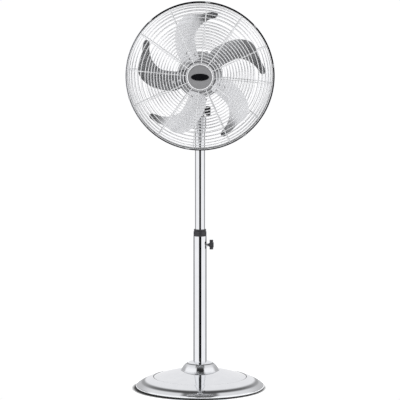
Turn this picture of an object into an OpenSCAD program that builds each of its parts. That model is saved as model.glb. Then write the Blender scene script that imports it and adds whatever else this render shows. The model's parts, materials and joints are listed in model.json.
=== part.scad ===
// Pedestal fan with a chromed telescopic stand, a tilting and swinging head and five swept blades.
// Millimetres. +Z is up, the fan blows towards -Y, and the origin is on the floor on the pole's axis.

/* [Stand] */
// Radius of the round base at its widest
base_r = 199; // [150:1:240]
// Radius of the long curve that takes the base's top down to its edge
base_curve_r = 122; // [80:1:200]
// Radius of the rolled edge of the base
base_edge_r = 5; // [3:0.5:10]
// Slope of the base's top where the long curve starts, degrees
base_slope = 14.2; // [5:0.1:20]
// Radius of the shallow dome in the middle of the base's top
base_cap_r = 410; // [300:5:600]
// Height that this dome would have on the pole's axis
base_cap_z = 60.75; // [55:0.25:70]
// Thickness of the pressed base cover
base_wall = 1.5; // [1:0.1:3]
// Radius of the shallow step ring in the base's top
base_step_r = 145; // [110:1:148]
// Height of the base's top where its long curve starts
base_curve_z = 34.5; // [25:0.5:45]
// Radius of the domed collar where the pole meets the base
escutcheon_r = 58; // [40:1:70]
// Height of the top of that domed collar
escutcheon_top = 84; // [75:1:100]
// Outer radius of the lower tube
lower_r = 20.5; // [16:0.5:25]
// Wall of both tubes
tube_wall = 1.5; // [1:0.1:3]
// Height of the lower tube's top
lower_top = 475; // [400:1:550]

/* [Mast] */
// Outer radius of the upper tube
upper_r = 15.5; // [11:0.5:18]
// Height of the upper tube's lower end at rest
upper_bottom = 275; // [250:1:320]
// Height of the upper tube's top at rest
upper_top = 841; // [800:1:860]
// Height of the clamp screw
clamp_z = 447; // [420:1:460]

/* [Head] */
// Height of the tilt pivot
tilt_z = 861; // [855:1:880]
// Height of the fan's axis
head_z = 974; // [950:1:1000]
// Outer radius of the guard
cage_r = 225; // [200:1:240]
// Radius of a ring wire
wire_r = 1.15; // [0.8:0.05:2]
// Radius of a radial rib wire
rib_r = 1.5; // [1:0.1:2.5]
// Radius of the two thick rim wires
rim_wire_r = 2.6; // [2:0.1:4]
// Number of radial ribs on each guard
rib_count = 12; // [8:1:24]
// Angle of the first rib, degrees
rib_start = 24.5; // [0:0.5:30]
// Spacing of the flat rings
ring_pitch = 8.8; // [7:0.1:20]
// Radius of the motor covers
motor_r = 44; // [40:1:55]

/* [Blades] */
// Distance of the blades in front of the pole's axis
blade_z = 112; // [105:1:120]
// Pitch of a blade, degrees
blade_pitch = 18; // [10:1:30]
// Camber radius of a blade
blade_camber = 260; // [180:10:400]
// Sheet thickness of a blade
blade_t = 1.2; // [0.8:0.1:2]
// Number of blades
blade_count = 5; // [5:1:5]

/* [Hidden] */
$fn = 96;
base_curve_at = 150;
curve_x = base_curve_at - base_curve_r * sin(base_slope);
curve_z = base_curve_z - base_curve_r * cos(base_slope);
edge_x = base_r - base_edge_r;
edge_dx = edge_x - curve_x;
reach_c = base_curve_r - base_edge_r;
edge_z = curve_z + sqrt(reach_c * reach_c - edge_dx * edge_dx);
rim_front = 109;
rim_rear = 103.7;
rim_wire_at = cage_r - 4.6;
bend_r = 54;
bend_at = rim_wire_at - bend_r;
front_face = rim_front + bend_r + 1;
rear_face = rim_rear - bend_r;
bezel_r = 39.3;
gear_front = -62.5;
gear_back = -112;
gear_half = 38;
gear_low = -34;
gear_high = 36;
hump_high = 49;
wheel_x = 20;
wheel_y = 88;
crank_r = 26;
lower_in = lower_r - tube_wall;
upper_in = upper_r - tube_wall;
clip_angles = [84, 42, 8, -53, -100, -163, 132];
chrome = [0.82, 0.83, 0.85];
black = [0.07, 0.07, 0.08];
steel = [0.6, 0.61, 0.63];
satin = [0.5, 0.5, 0.52];
dark = [0.2, 0.2, 0.22];
nylon = [0.9, 0.9, 0.86];
copper = [0.72, 0.42, 0.22];

// ---- helpers ----

// Puts children drawn on the fan's own axis (local +Z is forwards) into the head's place.
module on_head() {
  translate([0, 0, head_z]) rotate([90, 0, 0]) children();
}

// The eight-sided section of a drawn wire, with its flats square to the axes.
module wire_section(r) {
  rotate(22.5) circle(r = r, $fn = 8);
}

// A ring of wire about the local Z axis.
module wire_ring(at, r, z) {
  translate([0, 0, z]) rotate_extrude($fn = 72) translate([at, 0]) wire_section(r);
}

// A tube or washer from z0 to z1.
module sleeve(r_out, r_in, z0, z1) {
  translate([0, 0, z0]) difference() {
    cylinder(r = r_out, h = z1 - z0);
    translate([0, 0, -1]) cylinder(r = r_in, h = z1 - z0 + 2);
  }
}

// A cylinder from z0 to z1.
module rod(r, z0, z1) {
  translate([0, 0, z0]) cylinder(r = r, h = z1 - z0);
}

// A cylinder lying along X from x0 to x1.
module rod_x(r, x0, x1) {
  translate([x0, 0, 0]) rotate([0, 90, 0]) cylinder(r = r, h = x1 - x0);
}

// Half of the base's section, drawn t inside its outer skin: shallow dome with a flat seat for
// the collar, a narrow cone outside the step, long curve, rolled edge.
module base_section(t) {
  big = base_curve_r - t;
  sx = curve_x + big * sin(base_slope);
  ex = curve_x + big * edge_dx / reach_c;
  step = base_step_r + t;
  intersection() {
    translate([0, base_cap_z - base_cap_r]) circle(r = base_cap_r - t, $fn = 400);
    translate([0, edge_z]) square([step + 0.01, base_z(escutcheon_r) - t - edge_z]);
  }
  polygon([[step, edge_z], [sx, edge_z], [sx, curve_z + big * cos(base_slope)],
    [step, curve_z + big * cos(base_slope) + (sx - step) * tan(base_slope)]]);
  intersection() {
    translate([curve_x, curve_z]) circle(r = big, $fn = 200);
    translate([sx - 0.01, edge_z]) square([ex - sx + 0.01, 60]);
  }
  translate([edge_x, edge_z]) circle(r = base_edge_r - t);
  translate([0, edge_z - base_edge_r + t]) square([edge_x, base_edge_r]);
}

// Height of the base's skin at radius r, on its dome.
function base_z(r) = base_cap_z - base_cap_r + sqrt(base_cap_r * base_cap_r - r * r);

// ---- stand ----

module base_cover() color(chrome) rotate_extrude($fn = 128) difference() {
  base_section(0);
  base_section(base_wall);
  translate([0, -1]) square([lower_r + 0.1, 100]);
  translate([0, -1]) square([edge_x - 4, 5]);
  translate([base_step_r, base_z(base_step_r) + 0.55]) circle(r = 1.2, $fn = 24);
}

module base_weight() color(dark) difference() {
  union() {
    rod(168, 3.7, 20);
    rod(60, 20, 26);
  }
  rod(6.5, 0, 40);
  for (k = [0:2]) rotate([0, 0, 120 * k + 60]) translate([120, 0, 12]) cylinder(r = 9, h = 20);
}

module base_plate() color(steel) difference() {
  rod(edge_x - 4.1, 2.2, 3.7);
  rod(6.5, 0, 10);
}

module base_ring() color(black) difference() {
  rod(edge_x - 4.6, 0, 2.2);
  rod(edge_x - 18, -1, 5);
  for (k = [0:5]) rotate([0, 0, 60 * k + 30]) translate([edge_x - 11.3, 0, -0.6]) cylinder(r = 4, h = 1.4);
}

module escutcheon() color(chrome) rotate_extrude($fn = 128) {
  reach = escutcheon_r - lower_r;
  low = base_z(escutcheon_r) + 0.1;
  rise = escutcheon_top - low;
  drop = (reach * reach - rise * rise) / (2 * rise);
  cr = rise + drop;
  difference() {
    intersection() {
      translate([lower_r + 0.05, low - drop]) circle(r = cr);
      translate([lower_r + 0.05, low]) square([cr, cr]);
    }
    translate([lower_r - 1, low - drop]) circle(r = cr - 2);
  }
}

module pole_plug() color(steel) difference() {
  union() {
    rod(lower_in, 26, 58);
    rod(lower_r + 9, 26, 30);
  }
  rod(6, 25, 52);
}

module pole_bolt() color(steel) union() {
  rod(6, 0.4, 48);
  rod(15, 1.6, 2.2);
  translate([0, 0, 0.4]) cylinder(r = 10, h = 1.2, $fn = 6);
}

module lower_tube() color(chrome) difference() {
  sleeve(lower_r, lower_in, 30, lower_top);
  translate([0, 0, clamp_z]) rod_x(3.1, 0, lower_r + 5);
}

module clamp_collar() color(black) difference() {
  rotate_extrude() polygon([[upper_r + 0.06, lower_top - 40], [lower_in, lower_top - 40],
    [lower_in, lower_top], [19.6, lower_top], [19.8, lower_top + 13.5], [19, lower_top + 14.8],
    [18, lower_top + 15.2], [18, lower_top + 16.2], [18.9, lower_top + 16.8],
    [18.7, lower_top + 20.5], [17.8, lower_top + 21.3], [upper_r + 0.06, lower_top + 21.3]]);
  translate([0, 0, clamp_z]) rod_x(3.1, 0, lower_r + 5);
}

module clamp_boss() color(steel) translate([0, 0, clamp_z]) difference() {
  rod_x(7, lower_r - 1.5, lower_r + 2.4);
  rod_x(3.06, 0, 40);
  translate([0, 0, -20]) cylinder(r = lower_r, h = 40);
}

module height_screw() color(steel) translate([0, 0, clamp_z]) rod_x(3, upper_r + 0.4, lower_r + 8);

module height_knob() color(black) translate([lower_r + 4.4, 0, clamp_z]) difference() {
  union() {
    rotate([0, 90, 0]) cylinder(r1 = 5, r2 = 12, h = 8);
    rod_x(12, 8, 16);
    rod_x(9, 16, 17.4);
    for (k = [0:4]) rotate([72 * k + 90, 0, 0]) translate([0, 10.6, 0]) rod_x(5.4, 8, 16);
  }
  rod_x(3, -1, 3.6);
}

// ---- mast ----

module upper_tube() color(chrome) sleeve(upper_r, upper_in, upper_bottom, upper_top);

module mast_bush() color(nylon) union() {
  sleeve(lower_in - 0.06, upper_r, upper_bottom - 3, upper_bottom + 25);
  sleeve(upper_r, upper_in - 2, upper_bottom - 3, upper_bottom);
}

module neck_socket() color(black) difference() {
  union() {
    rod(19, upper_top - 36, upper_top);
    rod(17.4, upper_top - 42, upper_top - 36);
    translate([-14, -13, upper_top]) cube([28, 26, 6]);
    for (s = [-1, 1]) translate([s * 11.6 - 2.4, 0, 0]) {
      translate([0, -13, upper_top]) cube([4.8, 26, tilt_z - upper_top]);
      translate([0, 0, tilt_z]) rod_x(13, 0, 4.8);
    }
  }
  rod(upper_r, upper_top - 50, upper_top);
  translate([0, 0, tilt_z]) rod_x(4.06, -30, 30);
  translate([0, 0, upper_top - 20]) rotate([-90, 0, 0]) cylinder(r = 2.5, h = 40);
}

module neck_screw() color(steel) translate([0, 0, upper_top - 20]) rotate([-90, 0, 0]) difference() {
  union() {
    translate([0, 0, 19]) cylinder(r = 4.6, h = 3);
    translate([0, 0, upper_r]) cylinder(r = 2.5, h = 5);
  }
  translate([-0.6, -6, 20.9]) cube([1.2, 12, 1.6]);
}

module tilt_bolt() color(steel) translate([0, 0, tilt_z]) union() {
  rod_x(4, -16, 26);
  translate([-19, 0, 0]) rotate([0, 90, 0]) cylinder(r = 7.5, h = 5, $fn = 6);
}

module tilt_knob() color(black) translate([0, 0, tilt_z]) difference() {
  union() {
    rod_x(9, 14.4, 18);
    rod_x(14.6, 18, 31);
    rod_x(12.5, 31, 32.5);
  }
  rod_x(4.06, 10, 26.4);
  for (k = [0:9]) rotate([36 * k, 0, 0]) translate([0, 17.2, 0]) rod_x(4.2, 17, 34);
}

// ---- tilting yoke ----

module tilt_yoke() color(black) difference() {
  union() {
    translate([0, 0, tilt_z]) rod_x(12.6, -8.8, 8.8);
    translate([-8.8, -10, tilt_z]) cube([17.6, 20, 893 - tilt_z]);
    rod(22, 893, 899);
    translate([-6, 0, 893]) cube([12, crank_r, 6]);
    translate([0, crank_r, 893]) cylinder(r = 6, h = 6);
    translate([0, crank_r, 893]) cylinder(r = 2.5, h = 19);
  }
  translate([0, 0, tilt_z]) rod_x(4.06, -30, 30);
  rod(4, 886, 900);
}

module pivot_pin() color(steel) union() {
  rod(6, 899, 914);
  rod(4, 886, 899);
}

module pivot_washer() color(nylon) sleeve(16, 6, 899, 899.3);

// ---- head ----

module pivot_boss() color(dark) difference() {
  union() {
    rod(17, 899.5, 937);
    for (s = [-1, 1]) translate([s * 19 - 5, -14, 922]) cube([10, 28, 22]);
  }
  rod(6.06, 890, 914.5);
  on_head() translate([0, 0, -60]) cylinder(r = motor_r, h = 120);
}

module motor_front_cover() color(black) on_head() difference() {
  rotate_extrude() polygon([[11, 40], [14, 40], [14, 45.5], [motor_r - 6, 45.5],
    [motor_r - 2.5, 42], [motor_r - 2.5, -2], [motor_r, -2], [motor_r, 43], [motor_r - 5, 48],
    [30, 48], [30, 58], [26, 58], [26, 48], [14, 48], [14, 54], [11, 54]]);
  for (k = [0:11]) rotate([0, 0, 30 * k]) translate([31.5, -1.6, 40]) cube([6, 3.2, 12]);
}

module motor_rear_cover() color(black) on_head() difference() {
  rotate_extrude() polygon([[11, -60], [motor_r - 8, -60], [motor_r, -52], [motor_r, -2],
    [motor_r - 2.5, -2], [motor_r - 2.5, -51], [motor_r - 9, -57.5], [14, -57.5], [14, -46],
    [11, -46]]);
  for (k = [0:17]) rotate([0, 0, 20 * k]) translate([motor_r - 6, -1.2, -44]) cube([14, 2.4, 30]);
}

// The slots round the stator's bore, or the coil sides that fill them.
module stator_slots() {
  for (k = [0:11]) rotate([0, 0, 30 * k + 15]) translate([26, -2.5, -15]) cube([9, 5, 45]);
}

module stator_core() color(steel) on_head() difference() {
  sleeve(motor_r - 2.5, 22, -15, 30);
  stator_slots();
}

module windings() color(copper) on_head() union() {
  stator_slots();
  sleeve(37, 26, 30, 38.5);
  sleeve(37, 26, -27, -15);
}

module front_bearing() color(steel) on_head() sleeve(11, 4.05, 42, 53);

module rear_bearing() color(steel) on_head() sleeve(11, 4.05, -59, -47);

// The gearbox's outline, drawn t inside its outer skin.
module gear_outline(t) {
  r = 12 - t;
  translate([-gear_half + t, gear_low + 12]) square([2 * gear_half - 2 * t, gear_high - gear_low - 24]);
  translate([-gear_half + 12, gear_low + t]) square([2 * gear_half - 24, gear_high - gear_low - 2 * t]);
  for (x = [-gear_half + 12, gear_half - 12], y = [gear_low + 12, gear_high - 12])
    translate([x, y]) circle(r = r);
}

module gearbox_housing() color(black) difference() {
  on_head() difference() {
    union() {
      translate([0, 0, gear_back]) linear_extrude(height = gear_front - gear_back) gear_outline(0);
      translate([-4, 20, gear_back + 8]) cube([20.5, hump_high - 20, 34]);
    }
    translate([0, 0, gear_back + 2.5]) linear_extrude(height = 60) gear_outline(2.5);
    translate([-20, -10, gear_back - 1]) cylinder(r = 4.2, h = 10);
    translate([-20, 22, gear_back - 1]) cylinder(r = 5, h = 10);
    for (x = [-29, 29], y = [-25, 31]) translate([x, y, gear_back - 1]) cylinder(r = 2, h = 10);
  }
  translate([wheel_x, wheel_y, head_z + 20]) cylinder(r = 2.8, h = 60);
  translate([wheel_x, wheel_y, 920]) cylinder(r = 3.06, h = 40);
}

module gearbox_lid() color(black) on_head() difference() {
  translate([0, 0, gear_front]) linear_extrude(height = -60 - gear_front) gear_outline(0);
  rod(13, -70, -50);
}

module capacitor() color(nylon) on_head() translate([-25.5, -22.4, -84]) rod_x(9, 0, 38);

module speed_switch() color(dark) on_head() translate([-20, -10, 0]) union() {
  translate([-11, -10, gear_back + 2.5]) cube([22, 22, 9]);
  translate([0, 0, gear_back - 2]) cylinder(r = 4, h = 6);
}

module speed_knob() color(black) on_head() translate([-20, -10, gear_back]) difference() {
  union() {
    translate([0, 0, -13]) cylinder(r = 11, h = 12.6);
    translate([-2, -11, -17]) cube([4, 22, 5]);
  }
  translate([0, 0, -2.4]) cylinder(r = 4.06, h = 4);
}

module cord_gland() color(black) on_head() translate([-20, 22, 0]) difference() {
  union() {
    translate([0, 0, gear_back - 8]) cylinder(r = 7.5, h = 8);
    translate([0, 0, gear_back]) cylinder(r = 5, h = 2.5);
    translate([0, 0, gear_back - 14]) cylinder(r = 5.5, h = 8);
  }
  translate([0, 0, gear_back - 20]) cylinder(r = 3.2, h = 30);
}

module housing_screws() color(steel) on_head() {
  for (x = [-29, 29], y = [-25, 31]) translate([x, y, 0]) difference() {
    union() {
      translate([0, 0, gear_back - 2]) cylinder(r = 3.8, h = 2);
      translate([0, 0, gear_back]) cylinder(r = 2, h = 10);
    }
    translate([-0.5, -3, gear_back - 2.5]) cube([1, 6, 1.4]);
    translate([-3, -0.5, gear_back - 2.5]) cube([6, 1, 1.4]);
  }
}

// ---- guards ----

// One radial rib: straight from r0, then bent through a quarter turn to the rim.
module rib(r0, face, side) {
  translate([r0, 0, face]) rotate([90, 0, 90])
    linear_extrude(height = bend_at - r0 + 0.01) wire_section(rib_r);
  translate([bend_at, 0, face - side * bend_r]) rotate([side > 0 ? 90 : -90, 0, 0])
    rotate_extrude(angle = 90, $fn = 72) translate([bend_r, 0]) wire_section(rib_r);
}

// The rings of one guard, welded to the outside of its ribs.
module rings(first, face, side) {
  over = rib_r + wire_r - 0.5;
  flat_count = floor((bend_at - first) / ring_pitch);
  for (i = [0:flat_count]) wire_ring(first + i * ring_pitch, wire_r, face + side * over);
  for (i = [1:6]) let (a = 90 - i * 11.5)
    wire_ring(bend_at + (bend_r + over) * cos(a), wire_r,
      face - side * bend_r + side * (bend_r + over) * sin(a));
}

module front_guard() color(chrome) on_head() union() {
  rings(50, front_face, 1);
  wire_ring(41.3, 1.5, front_face + 0.6);
  wire_ring(rim_wire_at, rim_wire_r, rim_front);
  for (k = [0:rib_count - 1]) rotate([0, 0, rib_start + 360 / rib_count * k])
    rib(41.3, front_face, 1);
}

module rear_guard() color(chrome) on_head() union() {
  rings(84, rear_face, -1);
  wire_ring(rim_wire_at, rim_wire_r, rim_rear);
  sleeve(70, 30.05, 48, 50);
  for (k = [0:rib_count - 1]) rotate([0, 0, rib_start + 360 / rib_count * k])
    rib(64, rear_face, -1);
}

module guard_nut() color(black) on_head() difference() {
  sleeve(41, 30.05, 50, 56.5);
  for (k = [0:7]) rotate([0, 0, 45 * k]) translate([44, 0, 49]) cylinder(r = 5, h = 10);
}

module trim_ring() color(chrome) on_head() rotate_extrude($fn = 128)
  polygon([[cage_r - 2.7, 99.7], [cage_r, 99.7], [cage_r, 113.3], [cage_r - 2.7, 113.3],
    [cage_r - 2.7, 112.5], [cage_r - 1.9, 112.5], [cage_r - 1.9, 100.5], [cage_r - 2.7, 100.5]]);

module guard_clips() color(chrome) on_head() for (a = clip_angles) rotate([0, 0, a])
  difference() {
    translate([cage_r - 2.7, -6, 98.4]) cube([3.9, 12, 16.2]);
    sleeve(cage_r + 0.12, cage_r - 9, 99.6, 113.4);
  }

module badge_bezel() color(chrome) on_head() rotate_extrude()
  polygon([[36, 165.6], [bezel_r, 165.6], [bezel_r, 169], [38.8, 171], [37.8, 171.6], [36.8, 171],
    [36, 169.6]]);

module badge_disc() color(satin) on_head() union() {
  rod(46, front_face - 3.6, front_face - rib_r);
  rod(38.8, front_face - rib_r, 165.6);
  rod(36, 165.6, 168.4);
}

module badge_plaque() color(black) on_head() translate([0, 0, 168.4]) linear_extrude(height = 1.2)
  polygon([for (i = [0:59]) [27 * cos(6 * i), 10.6 * sin(6 * i)]]);

// ---- blades ----

// Edges of one blade as [angle, radius] about the fan's axis, from its root to its tip.
outer_edge = [[70, 58], [63, 96], [48, 148], [37.5, 178], [29.5, 187], [19, 186], [10, 193], [5, 197.5],
  [3, 197]];
inner_edge = [[1.8, 194], [1.6, 187], [3, 181], [10, 169], [18, 150], [25.6, 121], [26, 84], [19, 52]];

function polar(p) = [p[1] * cos(p[0]), p[1] * sin(p[0])];
function spline(a, b, c, d, t) = 0.5 * (2 * b + (c - a) * t + (2 * a - 5 * b + 4 * c - d) * t * t
  + (3 * b - a - 3 * c + d) * t * t * t);
function smooth_path(p, n) = let (last = len(p) - 1) [for (i = [0:last - 1], j = [0:n - 1])
  spline(p[max(i - 1, 0)], p[i], p[i + 1], p[min(i + 2, last)], j / n)];

// The curved sheet that a blade or its bracket is cut from, dropped by d.
module blade_sheet(d, t) {
  translate([0, 0, blade_z]) rotate([0, 0, 28])
    translate([0, -blade_camber * sin(blade_pitch), blade_camber * cos(blade_pitch)])
      rotate([0, 90, 0]) difference() {
        cylinder(r = blade_camber + d + t, h = 230, $fn = 200);
        translate([0, 0, -1]) cylinder(r = blade_camber + d, h = 240, $fn = 200);
      }
}

module blade_shape() {
  outer = smooth_path([for (p = outer_edge) polar(p)], 5);
  inner = smooth_path([for (p = inner_edge) polar(p)], 4);
  polygon(concat(outer, [polar([3, 197])], inner, [polar([19, 52])]));
}

module blade(k) color(satin) on_head() rotate([0, 0, 72 * k]) difference() {
  intersection() {
    blade_sheet(0, blade_t);
    translate([0, 0, blade_z - 40]) linear_extrude(height = 90) blade_shape();
  }
  for (p = rivet_places) translate([p[0], p[1], blade_z - 40]) cylinder(r = 2.2, h = 90);
}

rivet_places = [polar([48, 62]), polar([48, 80]), polar([31, 66])];

module blade_1() blade(0);
module blade_2() blade(1);
module blade_3() blade(2);
module blade_4() blade(3);
module blade_5() blade(4);

module spider_arm() {
  polygon([polar([62, 26]), polar([59, 70]), polar([52, 92]), polar([38, 92]), polar([26, 74]),
    polar([16, 56]), polar([-4, 26])]);
}

module blade_spider() color(dark) on_head() difference() {
  union() {
    rod(30, blade_z - 4, blade_z + 3);
    rod(12, blade_z - 16, blade_z);
    for (k = [0:4]) rotate([0, 0, 72 * k]) intersection() {
      blade_sheet(blade_t, 1.6);
      translate([0, 0, blade_z - 40]) linear_extrude(height = 90) spider_arm();
    }
  }
  rod(4, 80, 140);
  for (k = [0:4]) rotate([0, 0, 72 * k]) for (p = rivet_places)
    translate([p[0], p[1], blade_z - 40]) cylinder(r = 2.2, h = 90);
}

// Height of the blade sheet's front face above the point p.
function sheet_z(p) = let (v = p[1] * cos(28) - p[0] * sin(28))
  blade_z + blade_camber * cos(blade_pitch)
  - sqrt(pow(blade_camber, 2) - pow(v + blade_camber * sin(blade_pitch), 2));

module blade_rivets() color(steel) on_head() for (k = [0:4]) rotate([0, 0, 72 * k])
  for (p = rivet_places) union() {
    difference() {
      translate([p[0], p[1], sheet_z(p)]) intersection() {
        translate([0, 0, -2.2]) cylinder(r = 3.6, h = 5);
        translate([0, 0, -7]) sphere(r = 9.6);
      }
      blade_sheet(-0.06, 6);
    }
    translate([p[0], p[1], sheet_z(p) - 4.5]) cylinder(r = 2.15, h = 6.2);
  }

module hub_nut() color(dark) on_head() union() {
  translate([0, 0, blade_z + 3]) difference() {
    cylinder(r = 15, h = 14);
    translate([0, 0, -1]) cylinder(r = 4, h = 12);
    for (k = [0:7]) rotate([0, 0, 45 * k]) translate([18, 0, -1]) cylinder(r = 4, h = 20);
  }
  intersection() {
    translate([0, 0, blade_z + 17]) cylinder(r = 12, h = 6);
    translate([0, 0, blade_z + 8]) sphere(r = 14);
  }
}

module motor_shaft() color(steel) on_head() union() {
  rod(4, -100, blade_z + 13);
  rod(5.4, -98, -78);
  for (i = [0:5]) rod(6.4, -97 + 3.3 * i, -95.4 + 3.3 * i);
}

module rotor_core() color(steel) on_head() sleeve(21.6, 4, -15, 30);

// ---- oscillation gear ----

module osc_knob() color(black) translate([wheel_x, wheel_y, 0]) union() {
  rod(2.5, 997, 1035);
  rod(5, 1033, 1037.5);
  rod(4, 1037.5, 1039);
}

module worm_wheel() color(nylon) translate([wheel_x, wheel_y, head_z]) difference() {
  union() {
    rod(13.2, -4, 4);
    rod(7, -8, 8);
  }
  rod(3.06, -20, 20);
  for (k = [0:23]) rotate([0, 0, 15 * k]) translate([11.8, -0.8, -5]) cube([3, 1.6, 10]);
}

module crank() color(steel) translate([wheel_x, wheel_y, 0]) union() {
  rod(3, 917, 986);
  rod(6, 917, 923);
  translate([-5, 0, 917]) cube([10, crank_r, 6]);
  translate([0, crank_r, 917]) cylinder(r = 5, h = 6);
  translate([0, crank_r, 905]) cylinder(r = 2.5, h = 14);
}

module link_rod() color(steel) translate([0, crank_r, 907]) {
  reach = norm([wheel_x, wheel_y]);
  rotate([0, 0, atan2(wheel_y, wheel_x)]) difference() {
    union() {
      for (x = [0, reach]) translate([x, 0, 0]) cylinder(r = 5.6, h = 4);
      translate([0, -3.5, 0]) cube([reach, 7, 4]);
    }
    for (x = [0, reach]) translate([x, 0, -1]) cylinder(r = 2.56, h = 6);
  }
}

base_cover();
base_weight();
base_plate();
base_ring();
escutcheon();
pole_plug();
pole_bolt();
lower_tube();
clamp_collar();
clamp_boss();
height_knob();
height_screw();
upper_tube();
mast_bush();
neck_socket();
neck_screw();
tilt_bolt();
tilt_knob();
tilt_yoke();
pivot_pin();
pivot_washer();
pivot_boss();
motor_front_cover();
motor_rear_cover();
stator_core();
windings();
front_bearing();
rear_bearing();
gearbox_housing();
gearbox_lid();
capacitor();
speed_switch();
speed_knob();
cord_gland();
housing_screws();
rear_guard();
guard_nut();
front_guard();
trim_ring();
guard_clips();
badge_bezel();
badge_disc();
badge_plaque();
motor_shaft();
rotor_core();
blade_spider();
blade_1();
blade_2();
blade_3();
blade_4();
blade_5();
blade_rivets();
hub_nut();
osc_knob();
worm_wheel();
crank();
link_rod();
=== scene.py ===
"""Chromed pedestal fan: the visual pieces, finishes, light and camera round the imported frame.

Lengths in the sub-assembly classes are millimetres; they become metres where a mesh is made.
The head's own axes are x to the right, y up and z forwards along the fan's axis.
"""

from __future__ import annotations

import json
import logging
import math
from dataclasses import dataclass, field
from enum import Enum

import bpy
import bmesh
import numpy as np
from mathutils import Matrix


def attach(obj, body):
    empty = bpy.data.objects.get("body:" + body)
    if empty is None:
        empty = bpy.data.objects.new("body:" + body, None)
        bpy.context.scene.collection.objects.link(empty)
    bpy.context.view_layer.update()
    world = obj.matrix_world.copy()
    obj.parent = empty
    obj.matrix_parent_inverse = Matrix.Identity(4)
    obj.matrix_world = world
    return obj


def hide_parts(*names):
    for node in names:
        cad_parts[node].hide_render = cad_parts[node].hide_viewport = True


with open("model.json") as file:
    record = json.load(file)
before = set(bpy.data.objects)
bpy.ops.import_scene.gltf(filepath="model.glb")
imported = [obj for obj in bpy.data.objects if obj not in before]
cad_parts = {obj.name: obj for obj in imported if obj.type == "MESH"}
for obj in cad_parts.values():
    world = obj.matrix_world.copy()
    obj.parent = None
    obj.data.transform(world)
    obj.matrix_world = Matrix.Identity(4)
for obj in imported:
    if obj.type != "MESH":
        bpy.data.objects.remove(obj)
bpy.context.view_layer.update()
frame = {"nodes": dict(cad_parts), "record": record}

LOG = logging.getLogger("pedestal_fan")
MM = 0.001
TAU = 2.0 * math.pi
HEAD_Z = 974.0
TILT_Z = 861.0
TO_X = np.array([[0, 0, 1.0], [1, 0, 0], [0, 1, 0]])
"""Turns a piece that was drawn along z to lie along x, with its own x across."""
TO_OUTWARDS = np.array([[0, 0, 1.0], [0, 1, 0], [1.0, 0, 0]])
"""Turns a piece that was drawn along z to stand outwards, along x, with its length along z."""
TO_SIDE_ON = np.array([[1.0, 0, 0], [0, 0, 1.0], [0, 1.0, 0]])
"""Turns a section that was drawn in x and y to lie in x and z, drawn out along y."""


class Place(Enum):
    """The frame that a shape's points are given in."""

    FLOOR = "floor"
    HEAD = "head"


class Along(Enum):
    """The axis that a turned shape is turned about."""

    X = "x"
    Y = "y"
    Z = "z"


# ---------------------------------------------------------------- shapes


def circle_angles(count: int) -> np.ndarray:
    """Angles of `count` even steps round a full turn, in radians.

    Args:
        count: Number of steps.

    Returns:
        The angles, without the repeated last one.
    """
    return np.arange(count) * TAU / count


def rounded_path(
    points: list[tuple[float, float]],
    radii: list[float],
    steps: int = 5,
    closed: bool = True,
) -> np.ndarray:
    """A flat polyline whose corners are replaced by arcs.

    Each corner's arc touches both sides at radius * tan(turn / 2) from the corner, and its points
    are centre + radius * (cos a, sin a) between the two touching directions. A point just before
    and one just after each arc keep the flat sides' shading flat.

    Args:
        points: Corner points in order.
        radii: One radius a corner; 0 keeps the corner sharp.
        steps: Segments in each arc.
        closed: Whether the last point joins the first.

    Returns:
        An (n, 2) array of the rounded line.
    """
    pts = np.asarray(points, float)
    count = len(pts)
    out: list[np.ndarray] = []
    for i in range(count):
        here = pts[i]
        if radii[i] <= 0 or (not closed and i in (0, count - 1)):
            out.append(here[None, :])
            continue
        back = pts[i - 1] - here
        ahead = pts[(i + 1) % count] - here
        len_back, len_ahead = np.linalg.norm(back), np.linalg.norm(ahead)
        back, ahead = back / len_back, ahead / len_ahead
        half = math.acos(float(np.clip(back @ ahead, -1, 1))) / 2
        reach = min(radii[i] / math.tan(half), 0.49 * len_back, 0.49 * len_ahead)
        radius = reach * math.tan(half)
        middle = back + ahead
        centre = here + middle / np.linalg.norm(middle) * radius / math.sin(half)
        first, last = here + back * reach - centre, here + ahead * reach - centre
        a0, a1 = math.atan2(first[1], first[0]), math.atan2(last[1], last[0])
        turn = (a1 - a0 + math.pi) % TAU - math.pi
        angles = a0 + turn * np.linspace(0, 1, steps + 1)
        arc = centre + radius * np.c_[np.cos(angles), np.sin(angles)]
        if abs(turn) > 0.35:
            before = reach + min(0.4 * radius, 0.4 * (0.5 * len_back - reach))
            after = reach + min(0.4 * radius, 0.4 * (0.5 * len_ahead - reach))
            arc = np.vstack([here + back * before, arc, here + ahead * after])
        out.append(arc)
    return np.vstack(out)


def smooth_line(points: list[tuple[float, float]], steps: int) -> np.ndarray:
    """A Catmull-Rom line through points: each span is the cubic whose slopes are half the chords.

    Args:
        points: Points to pass through.
        steps: Segments in each span.

    Returns:
        An (n, 2) array that starts and ends on the outer points.
    """
    p = np.asarray(points, float)
    p = np.vstack([p[0], p, p[-1]])
    t = np.linspace(0, 1, steps, endpoint=False)[:, None]
    spans = [
        0.5
        * (
            2 * p[i]
            + (p[i + 1] - p[i - 1]) * t
            + (2 * p[i - 1] - 5 * p[i] + 4 * p[i + 1] - p[i + 2]) * t**2
            + (3 * p[i] - p[i - 1] - 3 * p[i + 1] + p[i + 2]) * t**3
        )
        for i in range(1, len(p) - 2)
    ]
    return np.vstack([*spans, p[-1:]])


def polar(angle: float, radius: float) -> tuple[float, float]:
    """The point at an angle in degrees and a radius."""
    return radius * math.cos(math.radians(angle)), radius * math.sin(math.radians(angle))


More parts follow.
